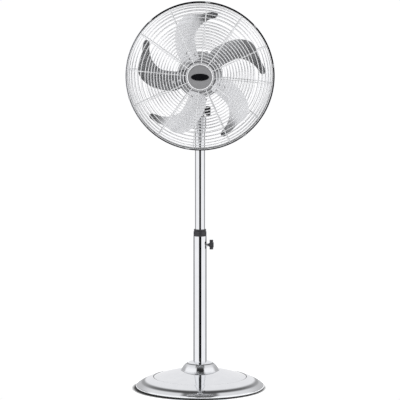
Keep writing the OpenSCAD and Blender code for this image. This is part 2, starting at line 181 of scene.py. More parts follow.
@dataclass
class Shape:
    """Vertices and faces that grow part by part and end as one Blender mesh object."""

    verts: list[np.ndarray] = field(default_factory=list)
    faces: list[tuple[int, ...]] = field(default_factory=list)
    count: int = 0

    def add_points(self, points: np.ndarray) -> int:
        """Adds points and returns the index of the first.

        Args:
            points: An (n, 3) array.

        Returns:
            Index of the first added point.
        """
        first = self.count
        self.verts.append(points)
        self.count += len(points)
        return first

    def add_grid(
        self,
        points: np.ndarray,
        wrap_rows: bool = False,
        wrap_cols: bool = False,
        caps: bool = False,
    ) -> Shape:
        """Adds a surface given as a grid of points, one quad between each four neighbours.

        Args:
            points: A (rows, cols, 3) array.
            wrap_rows: Whether the last row joins the first.
            wrap_cols: Whether the last column joins the first.
            caps: Whether the first and last rows are closed with a face.

        Returns:
            The shape itself.
        """
        rows, cols, _ = points.shape
        first = self.add_points(points.reshape(-1, 3))
        r = np.arange(rows if wrap_rows else rows - 1)[:, None]
        c = np.arange(cols if wrap_cols else cols - 1)[None, :]
        r2, c2 = (r + 1) % rows, (c + 1) % cols
        quads = np.stack(np.broadcast_arrays(r * cols + c, r * cols + c2, r2 * cols + c2, r2 * cols + c), -1)
        self.faces.extend(map(tuple, (quads.reshape(-1, 4) + first).tolist()))
        if caps:
            self.faces.append(tuple((first + np.arange(cols)[::-1]).tolist()))
            self.faces.append(tuple((first + (rows - 1) * cols + np.arange(cols)).tolist()))
        return self

    def add_turned(
        self,
        profile: np.ndarray,
        about: Along = Along.Z,
        centre: tuple[float, float, float] = (0, 0, 0),
        segments: int = 96,
        closed: bool = True,
        start: float = 0.0,
        sweep: float = TAU,
    ) -> Shape:
        """Adds a profile turned about an axis: (radius cos a, radius sin a, height) for each angle a.

        Args:
            profile: (n, 2) array of radius and height along the axis.
            about: Axis of turning.
            centre: Where the axis starts.
            segments: Steps round the turn.
            closed: Whether the profile is a loop.
            start: First angle.
            sweep: Angle turned through; less than a full turn leaves the ends capped.

        Returns:
            The shape itself.
        """
        full = sweep >= TAU - 1e-9
        a = start + (circle_angles(segments) if full else np.linspace(0, sweep, segments + 1))
        rad, high = profile[:, 0][None, :], profile[:, 1][None, :]
        u, v, w = np.cos(a)[:, None] * rad, np.sin(a)[:, None] * rad, high + 0 * a[:, None]
        stack = {Along.Z: (u, v, w), Along.X: (w, u, v), Along.Y: (v, w, u)}[about]
        grid = np.stack(stack, -1) + np.asarray(centre, float)
        return self.add_grid(grid, wrap_rows=full, wrap_cols=closed, caps=not full)

    def add_tube(self, path: np.ndarray, radius: float, sides: int = 8, closed: bool = False) -> Shape:
        """Adds a round wire: a circle of the radius carried square to the path.

        Each ring is point + radius * (cos b * side + sin b * up), where side and up are square to
        the path's direction and side follows one fixed reference direction.

        Args:
            path: (n, 3) array of the wire's centre line.
            radius: Radius of the wire.
            sides: Sides of the circle.
            closed: Whether the path is a loop.

        Returns:
            The shape itself.
        """
        if closed:
            along = np.roll(path, -1, 0) - np.roll(path, 1, 0)
        else:
            along = np.gradient(path, axis=0)
        along /= np.linalg.norm(along, axis=1, keepdims=True)
        spread = np.ptp(path, axis=0)
        reference = np.eye(3)[int(np.argmin(spread))] if np.ptp(spread) > 1e-9 else np.array([0, 0, 1.0])
        side = np.cross(along, reference)
        side /= np.linalg.norm(side, axis=1, keepdims=True)
        up = np.cross(side, along)
        b = circle_angles(sides)
        grid = path[:, None] + radius * (
            np.cos(b)[:, None] * side[:, None] + np.sin(b)[:, None] * up[:, None]
        )
        return self.add_grid(grid, wrap_rows=closed, wrap_cols=True, caps=not closed)

    def add_rings(self, outline: np.ndarray, insets: np.ndarray, heights: np.ndarray) -> Shape:
        """Adds a closed solid of stacked copies of one outline, each moved in by its own inset.

        Args:
            outline: (n, 2) array, anticlockwise.
            insets: Distance of each copy inside the outline, along the outline's normals.
            heights: Height of each copy.

        Returns:
            The shape itself.
        """
        ahead = np.roll(outline, -1, 0) - np.roll(outline, 1, 0)
        normal = np.c_[ahead[:, 1], -ahead[:, 0]]
        normal /= np.linalg.norm(normal, axis=1, keepdims=True) + 1e-12
        flat = outline[None] - insets[:, None, None] * normal[None]
        level = np.broadcast_to(heights[:, None, None], (*flat.shape[:2], 1))
        return self.add_grid(np.concatenate([flat, level], -1), wrap_cols=True, caps=True)

    def add_slab(
        self, outline: np.ndarray, low: float, high: float, bevel: float = 0.0, steps: int = 3
    ) -> Shape:
        """Adds a plate: an outline drawn upwards, with its two edges rounded inwards by the bevel.

        The rounded edge moves in by bevel * (1 - sin t) while its height changes by
        bevel * (1 - cos t).

        Args:
            outline: (n, 2) array, anticlockwise.
            low: Height of the underside.
            high: Height of the top.
            bevel: Radius of the rounded edges.
            steps: Segments in each rounded edge.

        Returns:
            The shape itself.
        """
        if bevel <= 0:
            return self.add_rings(outline, np.zeros(2), np.array([low, high]))
        t = np.linspace(0, math.pi / 2, steps + 1)
        insets = np.r_[bevel * (1 - np.sin(t)), bevel * (1 - np.cos(t))]
        heights = np.r_[low + bevel * (1 - np.cos(t)), high - bevel + bevel * np.sin(t)]
        rest = min(0.4 * bevel, 0.2 * (high - low - 2 * bevel))
        if rest > 0.001:
            half = len(t)
            insets = np.r_[bevel + rest, insets[:half], 0, 0, insets[half:], bevel + rest]
            heights = np.r_[
                low, heights[:half], low + bevel + rest, high - bevel - rest, heights[half:], high
            ]
        return self.add_rings(outline, insets, heights)

    def moved(self, matrix: np.ndarray, offset: tuple[float, float, float] = (0, 0, 0)) -> Shape:
        """Turns every point by a 3 by 3 matrix, then shifts it.

        Args:
            matrix: Rotation, or None for no turn.
            offset: Shift.

        Returns:
            The shape itself.
        """
        turn = np.eye(3) if matrix is None else matrix
        self.verts = [v @ turn.T + np.asarray(offset, float) for v in self.verts]
        return self

    def joined(self, other: Shape) -> Shape:
        """Adds another shape's parts to this one.

        Args:
            other: The shape to add.

        Returns:
            The shape itself.
        """
        first = self.count
        self.verts.extend(other.verts)
        self.count += other.count
        self.faces.extend(tuple(i + first for i in f) for f in other.faces)
        return self

    def build(self, name: str, place: Place = Place.FLOOR, crease: float = 38.0) -> bpy.types.Object:
        """Makes the Blender object, in metres, with merged seams and outward faces.

        Args:
            name: Object name.
            place: Frame of the points.
            crease: Edges turned by more than this many degrees stay sharp.

        Returns:
            The mesh object at the origin.
        """
        points = np.vstack(self.verts)
        if place is Place.HEAD:
            points = np.c_[points[:, 0], -points[:, 2], points[:, 1] + HEAD_Z]
        mesh = bpy.data.meshes.new(name)
        mesh.from_pydata((points * MM).tolist(), [], self.faces)
        close_seams(mesh)
        mesh.shade_smooth()
        mesh.set_sharp_from_angle(angle=math.radians(crease))
        piece = bpy.data.objects.new(name, mesh)
        bpy.context.scene.collection.objects.link(piece)
        return piece


def close_seams(mesh: bpy.types.Mesh) -> None:
    """Merges doubled points, drops faces without area and points faces outwards.

    Args:
        mesh: Mesh to mend in place.
    """
    bm = bmesh.new()
    bm.from_mesh(mesh)
    bmesh.ops.remove_doubles(bm, verts=bm.verts, dist=2e-6)
    bmesh.ops.dissolve_degenerate(bm, edges=bm.edges, dist=1e-7)
    bmesh.ops.recalc_face_normals(bm, faces=bm.faces)
    bm.to_mesh(mesh)
    bm.free()


def rotation(axis: Along, degrees: float) -> np.ndarray:
    """The matrix that turns points about an axis by the right-hand rule.

    Args:
        axis: Axis of turning.
        degrees: Angle.

    Returns:
        A 3 by 3 matrix.
    """
    c, s = math.cos(math.radians(degrees)), math.sin(math.radians(degrees))
    return {
        Along.X: np.array([[1, 0, 0], [0, c, -s], [0, s, c]]),
        Along.Y: np.array([[c, 0, s], [0, 1, 0], [-s, 0, c]]),
        Along.Z: np.array([[c, -s, 0], [s, c, 0], [0, 0, 1]]),
    }[axis]


def cylinder_profile(radius: float, low: float, high: float, edge: float, bore: float = 0.0) -> np.ndarray:
    """Profile of a turned plug or ring with rounded rims.

    Args:
        radius: Outer radius.
        low: Lower end.
        high: Upper end.
        edge: Radius of the rounded rims.
        bore: Inner radius; 0 makes it solid.

    Returns:
        The closed profile.
    """
    inner = max(bore, 0.0)
    pts = [(inner, low), (radius, low), (radius, high), (inner, high)]
    inner_edge = edge * 0.5 if bore > 0 else 0.0
    return rounded_path(pts, [inner_edge, edge, edge, inner_edge], 4)


def cut_out(piece: bpy.types.Object, cutter: bpy.types.Object) -> None:
    """Cuts one object out of another for good and removes the cutter.

    Args:
        piece: Object that loses material.
        cutter: Closed object that is taken away.
    """
    mod = piece.modifiers.new("cut", "BOOLEAN")
    mod.operation = "DIFFERENCE"
    mod.solver = "EXACT"
    mod.use_self = True
    mod.object = cutter
    depsgraph = bpy.context.evaluated_depsgraph_get()
    cut = bpy.data.meshes.new_from_object(piece.evaluated_get(depsgraph))
    piece.modifiers.clear()
    old = piece.data
    piece.data = cut
    bpy.data.meshes.remove(old)
    bpy.data.objects.remove(cutter)
    cut.shade_smooth()
    cut.set_sharp_from_angle(angle=math.radians(38))


# ---------------------------------------------------------------- finishes


@dataclass
class Graph:
    """A short way to add and join shader nodes in one tree."""

    tree: bpy.types.NodeTree

    def node(self, kind: str, **settings: object) -> bpy.types.Node:
        """Adds a node and sets its attributes.

        Args:
            kind: Blender's node type name.
            **settings: Attributes to set.

        Returns:
            The new node.
        """
        made = self.tree.nodes.new(kind)
        for key, value in settings.items():
            setattr(made, key, value)
        return made

    def feed(self, socket: bpy.types.NodeSocket, value: object) -> None:
        """Links a socket or sets its value.

        Args:
            socket: Input socket.
            value: An output socket, or a plain value.
        """
        if isinstance(value, bpy.types.NodeSocket):
            self.tree.links.new(value, socket)
        else:
            socket.default_value = value

    def math(self, operation: str, a: object, b: object = 0.0) -> bpy.types.NodeSocket:
        """One Math node.

        Args:
            operation: Blender's operation name.
            a: First input.
            b: Second input.

        Returns:
            The result socket.
        """
        made = self.node("ShaderNodeMath", operation=operation)
        self.feed(made.inputs[0], a)
        self.feed(made.inputs[1], b)
        return made.outputs[0]

    def ramp(
        self, value: object, low: float, high: float, out_low: float = 0.0, out_high: float = 1.0
    ) -> bpy.types.NodeSocket:
        """A smooth step from one value to another.

        Args:
            value: Input.
            low: Input where the step starts.
            high: Input where it ends.
            out_low: Result below the step.
            out_high: Result above it.

        Returns:
            The result socket.
        """
        made = self.node("ShaderNodeMapRange", interpolation_type="SMOOTHSTEP", clamp=True)
        for socket, v in zip(made.inputs[:5], (value, low, high, out_low, out_high), strict=True):
            self.feed(socket, v)
        return made.outputs[0]

    def noise(
        self, scale: float, detail: float = 3.0, vector: object = None, rough: float = 0.5
    ) -> bpy.types.NodeSocket:
        """Noise on the object's own coordinates.

        Args:
            scale: Cells a metre.
            detail: Octaves.
            vector: Coordinates, or None for the object's.
            rough: Weight of the finer octaves.

        Returns:
            The noise value's socket.
        """
        made = self.node("ShaderNodeTexNoise")
        self.feed(made.inputs["Vector"], self.coords() if vector is None else vector)
        made.inputs["Scale"].default_value = scale
        made.inputs["Detail"].default_value = detail
        made.inputs["Roughness"].default_value = rough
        return made.outputs["Fac"]

    def coords(self) -> bpy.types.NodeSocket:
        """The object's own coordinates."""
        return self.node("ShaderNodeTexCoord").outputs["Object"]

    def split(self, vector: object) -> bpy.types.NodeOutputs:
        """The three parts of a vector."""
        made = self.node("ShaderNodeSeparateXYZ")
        self.feed(made.inputs[0], vector)
        return made.outputs

    def distance(self, a: object, b: object) -> bpy.types.NodeSocket:
        """The length of the two sides' hypotenuse: sqrt(a^2 + b^2).

        Args:
            a: One side.
            b: The other side.

        Returns:
            The length.
        """
        square = self.math("ADD", self.math("MULTIPLY", a, a), self.math("MULTIPLY", b, b))
        return self.math("SQRT", square)

    def stretched(self, scale: tuple[float, float, float]) -> bpy.types.NodeSocket:
        """The object's coordinates, scaled a different amount along each axis.

        Args:
            scale: Scale of each axis.

        Returns:
            The vector socket.
        """
        made = self.node("ShaderNodeMapping", vector_type="POINT")
        self.feed(made.inputs["Vector"], self.coords())
        made.inputs["Scale"].default_value = scale
        return made.outputs[0]

    def tint(
        self, factor: object, dark: tuple[float, float, float], light: tuple[float, float, float]
    ) -> bpy.types.NodeSocket:
        """A colour between two by a factor.

        Args:
            factor: 0 gives dark, 1 gives light.
            dark: First colour.
            light: Second colour.

        Returns:
            The colour socket.
        """
        made = self.node("ShaderNodeMix", data_type="RGBA", clamp_factor=True)
        self.feed(made.inputs["Factor"], factor)
        made.inputs["A"].default_value = (*dark, 1)
        made.inputs["B"].default_value = (*light, 1)
        return made.outputs["Result"]

    def darken(self, shader: bpy.types.Node, share: object, colour: tuple[float, float, float]) -> None:
        """Mixes a second colour into the shader's base colour.

        Args:
            shader: The Principled node, whose base colour is already linked.
            share: Share of the second colour.
            colour: Second colour.
        """
        base = shader.inputs["Base Color"]
        mix = self.node("ShaderNodeMix", data_type="RGBA")
        self.feed(mix.inputs["Factor"], share)
        self.feed(mix.inputs["A"], base.links[0].from_socket)
        mix.inputs["B"].default_value = (*colour, 1)
        self.feed(base, mix.outputs["Result"])

    def bump(self, height: object, distance: float, strength: float = 1.0) -> bpy.types.NodeSocket:
        """A bump normal.

        Args:
            height: Height input.
            distance: Depth in metres.
            strength: Share of the effect.

        Returns:
            The normal socket.
        """
        made = self.node("ShaderNodeBump")
        made.inputs["Strength"].default_value = strength
        made.inputs["Distance"].default_value = distance
        self.feed(made.inputs["Height"], height)
        return made.outputs[0]


@dataclass(frozen=True)
class Finish:
    """What every finish has: a name, and a material made once."""

    name: str
    slot: str = ""

    def dress(self, graph: Graph, shader: bpy.types.Node) -> None:
        """Feeds the shader; each kind of finish has its own."""
        raise NotImplementedError

    def material(self) -> bpy.types.Material:
        """The finish's material, made the first time it is asked for.

        Returns:
            The material.
        """
        known = bpy.data.materials.get("fin_" + self.name)
        if known:
            return known
        made = bpy.data.materials.new("fin_" + self.name)
        made.use_nodes = True
        shader = made.node_tree.nodes["Principled BSDF"]
        self.dress(Graph(made.node_tree), shader)
        return made


@dataclass(frozen=True)
class Chrome(Finish):
    """Bright plated metal with a faint haze and slight waviness."""

    dark: tuple[float, float, float] = (0.80, 0.81, 0.83)
    light: tuple[float, float, float] = (0.90, 0.905, 0.915)
    rough_low: float = 0.03
    rough_high: float = 0.075
    wave: float = 0.00003
    metallic: float = 1.0

    def dress(self, graph: Graph, shader: bpy.types.Node) -> None:
        """Haze from two noises into roughness, tint and a very shallow bump."""
        haze = graph.noise(38.0, 4.0)
        specks = graph.noise(900.0, 2.0)
        both = graph.math("ADD", graph.math("MULTIPLY", haze, 0.75), graph.math("MULTIPLY", specks, 0.25))
        graph.feed(shader.inputs["Base Color"], graph.tint(haze, self.dark, self.light))
        shader.inputs["Metallic"].default_value = self.metallic
        graph.feed(shader.inputs["Roughness"], graph.ramp(both, 0.3, 0.75, self.rough_low, self.rough_high))
        graph.feed(shader.inputs["Normal"], graph.bump(graph.noise(14.0, 2.0), self.wave))


@dataclass(frozen=True)
class CoverChromePaintedShade(Chrome):
    """Chrome with a thin band of painted shade in the groove round the base."""

    groove_r: float = 144.5
    shade_in: float = 0.6
    shade_out: float = 1.2

    def dress(self, graph: Graph, shader: bpy.types.Node) -> None:
        """Chrome, darkened into painted shade where the distance from the pole's axis is the groove's."""
        super().dress(graph, shader)
        x, y, _ = graph.split(graph.coords())
        off = graph.math("SUBTRACT", graph.distance(x, y), self.groove_r * MM)
        # painted shade: a thin band at the groove's radius turns near black and loses its metal
        painted_shade_band = graph.ramp(graph.math("ABSOLUTE", off), self.shade_in * MM, self.shade_out * MM, 1.0, 0.0)
        graph.darken(shader, painted_shade_band, (0.02, 0.02, 0.02))
        graph.feed(shader.inputs["Metallic"], graph.math("SUBTRACT", 1.0, painted_shade_band))


@dataclass(frozen=True)
class RimChromePaintedReflection(Chrome):
    """Chrome of the cage's rim, with a painted dark reflection along its right, lower and upper parts."""

    by_side: float = 3.6
    by_height: float = 2.2

    def dress(self, graph: Graph, shader: bpy.types.Node) -> None:
        """Chrome, darkened into a painted reflection as x * by_side + |z - head| * by_height grows."""
        super().dress(graph, shader)
        x, _, z = graph.split(graph.coords())
        high = graph.math("ABSOLUTE", graph.math("SUBTRACT", z, HEAD_Z * MM))
        share = graph.math(
            "ADD", graph.math("MULTIPLY", x, self.by_side), graph.math("MULTIPLY", high, self.by_height)
        )
        # painted dark reflection: the colour goes near black towards the rim's right side, top and bottom
        graph.darken(shader, graph.ramp(share, -0.5, -0.1), (0.03, 0.03, 0.032))


@dataclass(frozen=True)
class BladeMetal(Finish):
    """Rolled aluminium sheet: fine grain along one direction, soft reflections."""

    def dress(self, graph: Graph, shader: bpy.types.Node) -> None:
        """Stretched noise gives the grain, and a slow noise the clouding."""
        grain = graph.noise(1.0, 3.0, graph.stretched((240.0, 900.0, 240.0)))
        cloud = graph.noise(22.0, 3.0)
        mixed = graph.math("ADD", graph.math("MULTIPLY", grain, 0.5), graph.math("MULTIPLY", cloud, 0.5))
        graph.feed(shader.inputs["Base Color"], graph.tint(mixed, (0.70, 0.705, 0.715), (0.86, 0.865, 0.875)))
        shader.inputs["Metallic"].default_value = 1.0
        graph.feed(shader.inputs["Roughness"], graph.ramp(mixed, 0.25, 0.75, 0.16, 0.30))
        graph.feed(shader.inputs["Normal"], graph.bump(grain, 0.00002, 0.6))


@dataclass(frozen=True)
class Moulded(Finish):
    """Moulded plastic: fine grain, slight sheen change, worn a little lighter on high spots."""

    colour: tuple[float, float, float] = (0.018, 0.018, 0.020)
    worn: tuple[float, float, float] = (0.034, 0.034, 0.037)
    rough_low: float = 0.32
    rough_high: float = 0.50
    grain: float = 2600.0

    def dress(self, graph: Graph, shader: bpy.types.Node) -> None:
        """Grain from fine noise, colour from a slow one."""
        slow = graph.noise(70.0, 3.0)
        fine = graph.noise(self.grain, 2.0)
        graph.feed(shader.inputs["Base Color"], graph.tint(slow, self.colour, self.worn))
        graph.feed(shader.inputs["Roughness"], graph.ramp(slow, 0.3, 0.7, self.rough_low, self.rough_high))
        graph.feed(shader.inputs["Normal"], graph.bump(fine, 0.00004, 0.5))


@dataclass(frozen=True)
class SatinDisc(Finish):
    """Grey disc brushed in circles about the fan's axis."""

    def dress(self, graph: Graph, shader: bpy.types.Node) -> None:
        """Rings of noise along the distance from the axis give the brushing."""
        x, _, z = graph.split(graph.coords())
        distance = graph.distance(x, graph.math("SUBTRACT", z, HEAD_Z * MM))
        join = graph.node("ShaderNodeCombineXYZ")
        graph.feed(join.inputs[0], distance)
        brushed = graph.noise(2400.0, 2.0, join.outputs[0], 0.7)
        cloud = graph.noise(60.0, 2.0)
        graph.feed(
            shader.inputs["Base Color"], graph.tint(brushed, (0.20, 0.20, 0.205), (0.275, 0.275, 0.28))
        )
        shader.inputs["Metallic"].default_value = 0.15
        graph.feed(shader.inputs["Roughness"], graph.ramp(cloud, 0.3, 0.7, 0.42, 0.55))
        graph.feed(shader.inputs["Normal"], graph.bump(brushed, 0.00002, 0.5))


@dataclass(frozen=True)
class PlainMetal(Finish):
    """Working metal: plated steel, castings, laminations and wire, by colour and grain."""

    dark: tuple[float, float, float] = (0.42, 0.425, 0.435)
    light: tuple[float, float, float] = (0.60, 0.605, 0.61)
    rough_low: float = 0.22
    rough_high: float = 0.42
    metallic: float = 1.0
    grain: tuple[float, float, float] = (400.0, 400.0, 400.0)
    depth: float = 0.00004

    def dress(self, graph: Graph, shader: bpy.types.Node) -> None:
        """Stretched noise for the grain and slow noise for the tone."""
        grain = graph.noise(1.0, 3.0, graph.stretched(self.grain))
        slow = graph.noise(45.0, 3.0)
        graph.feed(shader.inputs["Base Color"], graph.tint(slow, self.dark, self.light))
        shader.inputs["Metallic"].default_value = self.metallic
        graph.feed(shader.inputs["Roughness"], graph.ramp(grain, 0.3, 0.7, self.rough_low, self.rough_high))
        graph.feed(shader.inputs["Normal"], graph.bump(grain, self.depth, 0.6))


POLISHED = Chrome("polished_chrome")
COVER_CHROME_PAINTED_SHADE = CoverChromePaintedShade("cover_chrome_painted_shade", "polished_chrome")
GUARD_CHROME = Chrome("guard_chrome", "", (0.86, 0.865, 0.875), (0.94, 0.945, 0.95), 0.22, 0.30, 0.00001, 0.6)
RIM_CHROME_PAINTED_REFLECTION = RimChromePaintedReflection(
    "rim_chrome_painted_reflection", "guard_chrome", (0.80, 0.81, 0.83), (0.90, 0.905, 0.915), 0.04, 0.09, 0.00001
)
CASTING = Chrome("bright_casting", "", (0.72, 0.73, 0.75), (0.85, 0.855, 0.865), 0.08, 0.16, 0.00005)
BADGE_LIGHT = Chrome("badge_light", "", (0.90, 0.90, 0.91), (0.96, 0.96, 0.965), 0.30, 0.40, 0.00001, 0.45)
RIVET = Chrome("rivet_metal", "", (0.80, 0.80, 0.81), (0.92, 0.92, 0.92), 0.16, 0.26, 0.00001)
BLADE = BladeMetal("blade_metal")
BADGE_FACE = SatinDisc("badge_satin")
BLACK = Moulded("black_plastic")
ENAMEL = Moulded("black_enamel", "", (0.012, 0.012, 0.014), (0.022, 0.022, 0.024), 0.18, 0.30, 900.0)
RUBBER = Moulded("black_rubber", "", (0.020, 0.020, 0.020), (0.040, 0.040, 0.040), 0.65, 0.85, 1400.0)
PLAQUE = Moulded("badge_dark", "", (0.004, 0.004, 0.005), (0.008, 0.008, 0.009), 0.12, 0.2, 700.0)
SWITCH = Moulded("switch_body", "", (0.030, 0.028, 0.026), (0.055, 0.050, 0.046), 0.45, 0.6, 1200.0)
NYLON = Moulded("white_nylon", "", (0.66, 0.65, 0.60), (0.78, 0.77, 0.73), 0.38, 0.52, 1500.0)
STEEL = PlainMetal("plain_steel")
SPIDER = PlainMetal("spider_steel", "", (0.20, 0.20, 0.21), (0.34, 0.34, 0.35), 0.24, 0.40)
CAST = PlainMetal(
    "cast_weight", "", (0.05, 0.05, 0.052), (0.11, 0.11, 0.112), 0.55, 0.8, 0.6, (260.0, 260.0, 260.0),
    0.0004
)
LAMINATED = PlainMetal(
    "laminated_steel", "", (0.20, 0.20, 0.21), (0.32, 0.32, 0.33), 0.35, 0.55, 1.0, (60.0, 1800.0, 60.0),
    0.0002
)
COPPER = PlainMetal(
    "copper_winding", "", (0.45, 0.17, 0.06), (0.75, 0.36, 0.16), 0.25, 0.42, 1.0, (1500.0, 120.0, 1500.0),
    0.0003
)

FINISH_OF_SLOT: dict[str, Finish] = {
    f.name: f
    for f in (
        POLISHED, GUARD_CHROME, CASTING, BADGE_LIGHT, RIVET, BLADE, BADGE_FACE, BLACK, ENAMEL, RUBBER,
        PLAQUE, SWITCH, NYLON, STEEL, SPIDER, CAST, LAMINATED, COPPER
    )
}


def place_piece(piece: bpy.types.Object, body: str, finish: Finish, *nodes: str) -> bpy.types.Object:
    """Gives a piece its finish and its body, and hides the CAD nodes that it stands for.

    Args:
        piece: The mesh object.
        body: Name of the body that it rides on.
        finish: Its finish.
        *nodes: CAD nodes that it replaces.

    Returns:
        The piece.
    """
    piece.data.materials.clear()
    piece.data.materials.append(finish.material())
    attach(piece, body)
    if nodes:
        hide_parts(*nodes)
    LOG.info("%s on %s, %d faces", piece.name, body, len(piece.data.polygons))
    return piece


# ---------------------------------------------------------------- stand


@dataclass
class Base:
    """Domed base: pressed cover with a stepped ring, dome at the pole and rubber foot ring."""

    slope: float = 14.2
    cap_r: float = 410.0
    cap_z: float = 60.75
    arc_r: float = 122.0
    arc_from: float = 150.0
    arc_z: float = 34.5
    edge_r: float = 5.0
    edge_x: float = 194.0
    wall: float = 1.5
    step_r: float = 145.0
    bore: float = 20.6
    dome_r: float = 58.0
    dome_top: float = 84.0

    def height(self, radius: np.ndarray | float) -> np.ndarray | float:
        """Height of the shallow dome inside the step: part of a sphere of radius cap_r."""
        return self.cap_z - self.cap_r + np.sqrt(self.cap_r**2 - radius**2)

    def skin(self, inside: float) -> np.ndarray:
        """One side of the pressed cover, from the bore to the lip.

        The dome runs to step_r and a narrow cone to arc_from, then come the long arc to the rolled
        edge and the edge's half turn. The outer side carries the step's narrow groove at step_r.

        Args:
            inside: Distance inside the outer skin.

        Returns:
            (n, 2) array of radius and height.
        """
        slope = math.radians(self.slope)
        centre = np.array(
            [self.arc_from - self.arc_r * math.sin(slope), self.arc_z - self.arc_r * math.cos(slope)]
        )
        span = self.edge_x - centre[0]
        turn = math.asin(span / (self.arc_r - self.edge_r))
        edge_z = centre[1] + math.sqrt((self.arc_r - self.edge_r) ** 2 - span**2)
        cone_r = np.r_[
            np.linspace(self.bore, self.step_r - 4, 24),
            np.linspace(self.step_r - 3.6, self.step_r + 4.5, 55)
        ]
        off = cone_r - self.step_r
        cone = self.arc_z + (self.arc_from - cone_r) * math.tan(slope)
        outside = 1 / (1 + np.exp(-(off - inside) / 0.22))
        cone_z = self.height(cone_r) * (1 - outside) + cone * outside - inside / math.cos(slope)
        if inside == 0:
            cone_z = cone_z - 1.6 * np.exp(-(((off + 0.5) / 0.75) ** 2))
        t = np.linspace(slope, turn, 25)
        arc = centre + (self.arc_r - inside) * np.c_[np.sin(t), np.cos(t)]
        t = np.linspace(turn, math.pi, 17)
        edge = np.array([self.edge_x, edge_z]) + (self.edge_r - inside) * np.c_[np.sin(t), np.cos(t)]
        return np.vstack([np.c_[cone_r, cone_z], arc, edge[1:]])

    def build_cover(self) -> bpy.types.Object:
        """Builds the pressed cover as a closed shell."""
        outer, inner = self.skin(0), self.skin(self.wall)
        lip = np.array([[self.edge_x - 4, outer[-1, 1]], [self.edge_x - 4, inner[-1, 1]]])
        profile = np.vstack([outer, lip, inner[::-1]])
        return Shape().add_turned(profile, segments=256).build("base_cover_skin", crease=50)

    def build_dome(self) -> bpy.types.Object:
        """Builds the dome over the pole's foot: a quarter of a circle with a rolled rim."""
        reach = self.dome_r - self.bore
        low = float(self.height(self.dome_r)) + 0.1
        rise = self.dome_top - low
        drop = (reach**2 - rise**2) / (2 * rise)
        big = rise + drop
        t = np.linspace(0, math.acos(drop / big), 33)
        outer = np.c_[self.bore + big * np.sin(t), low - drop + big * np.cos(t)]
        t = t[::-1]
        inner = np.c_[self.bore + (big - 1.6) * np.sin(t), low - drop + (big - 1.6) * np.cos(t)]
        rim = np.array([self.dome_r + 0.9, low + 0.2]) + 1.0 * np.c_[
            np.cos(np.linspace(2.4, -1.4, 8)), np.sin(np.linspace(2.4, -1.4, 8))
        ]
        profile = np.vstack([outer[:-1], rim, inner])
        return Shape().add_turned(profile, segments=192).build("escutcheon_dome", crease=50)

    def build_foot(self) -> bpy.types.Object:
        """Builds the rubber ring that the fan stands on, with shallow ribs round it."""
        pts = [
            (176, 0.0), (189.4, 0.0), (189.4, 2.2), (185, 2.2), (185, 1.9), (180, 1.9), (180, 2.2),
            (176, 2.2)
        ]
        return Shape().add_turned(
            rounded_path(pts, [0.5, 0.6, 0.3, 0, 0, 0, 0, 0.3]), segments=192
        ).build("foot_ring")

    def build(self) -> None:
        """Builds and dresses every piece of the base."""
        place_piece(self.build_cover(), "stand", COVER_CHROME_PAINTED_SHADE, "base_cover")
        place_piece(self.build_dome(), "stand", POLISHED, "escutcheon")
        place_piece(self.build_foot(), "stand", RUBBER, "base_ring")


@dataclass
class HandKnob:
    """Knob turned on an X axis: a lobed or grooved head, a hub and a crowned face."""

    name: str
    body: str
    node: str
    height: float
    hub_from: float
    hub_r: float
    hub_end_r: float
    head_from: float
    head_to: float
    head_r: float
    lobes: int
    depth: float
    sharpness: float
    face_r: float
    face_to: float

    def outline(self) -> np.ndarray:
        """Head outline: radius minus depth times a raised cosine to the power of the sharpness."""
        a = circle_angles(240)
        dip = (0.5 - 0.5 * np.cos(self.lobes * (a - math.pi / 2))) ** self.sharpness
        r = self.head_r - self.depth * dip
        return np.c_[r * np.cos(a), r * np.sin(a)]

    def build(self) -> bpy.types.Object:
        """Builds the knob and puts it on its body.

        Returns:
            The dressed piece.
        """
        shape = Shape().add_slab(self.outline(), self.head_from, self.head_to, 1.4, 4)
        hub = rounded_path(
            [
                (0, self.hub_from), (self.hub_r, self.hub_from), (self.hub_end_r, self.head_from + 0.6),
                (0, self.head_from + 0.6)
            ],
            [0, 0.8, 0, 0],
        )
        face = rounded_path(
            [
                (0, self.head_to - 0.8), (self.face_r, self.head_to - 0.8),
                (self.face_r - 0.8, self.face_to), (self.face_r - 3, self.face_to - 0.5),
                (0, self.face_to - 0.5)
            ],
            [0, 0, 0.6, 0.5, 0],
        )
        shape.joined(Shape().add_turned(hub, segments=72)).joined(Shape().add_turned(face, segments=72))
        shape.moved(TO_X, (0, 0, self.height))
        return place_piece(shape.build(self.name), self.body, BLACK, self.node)


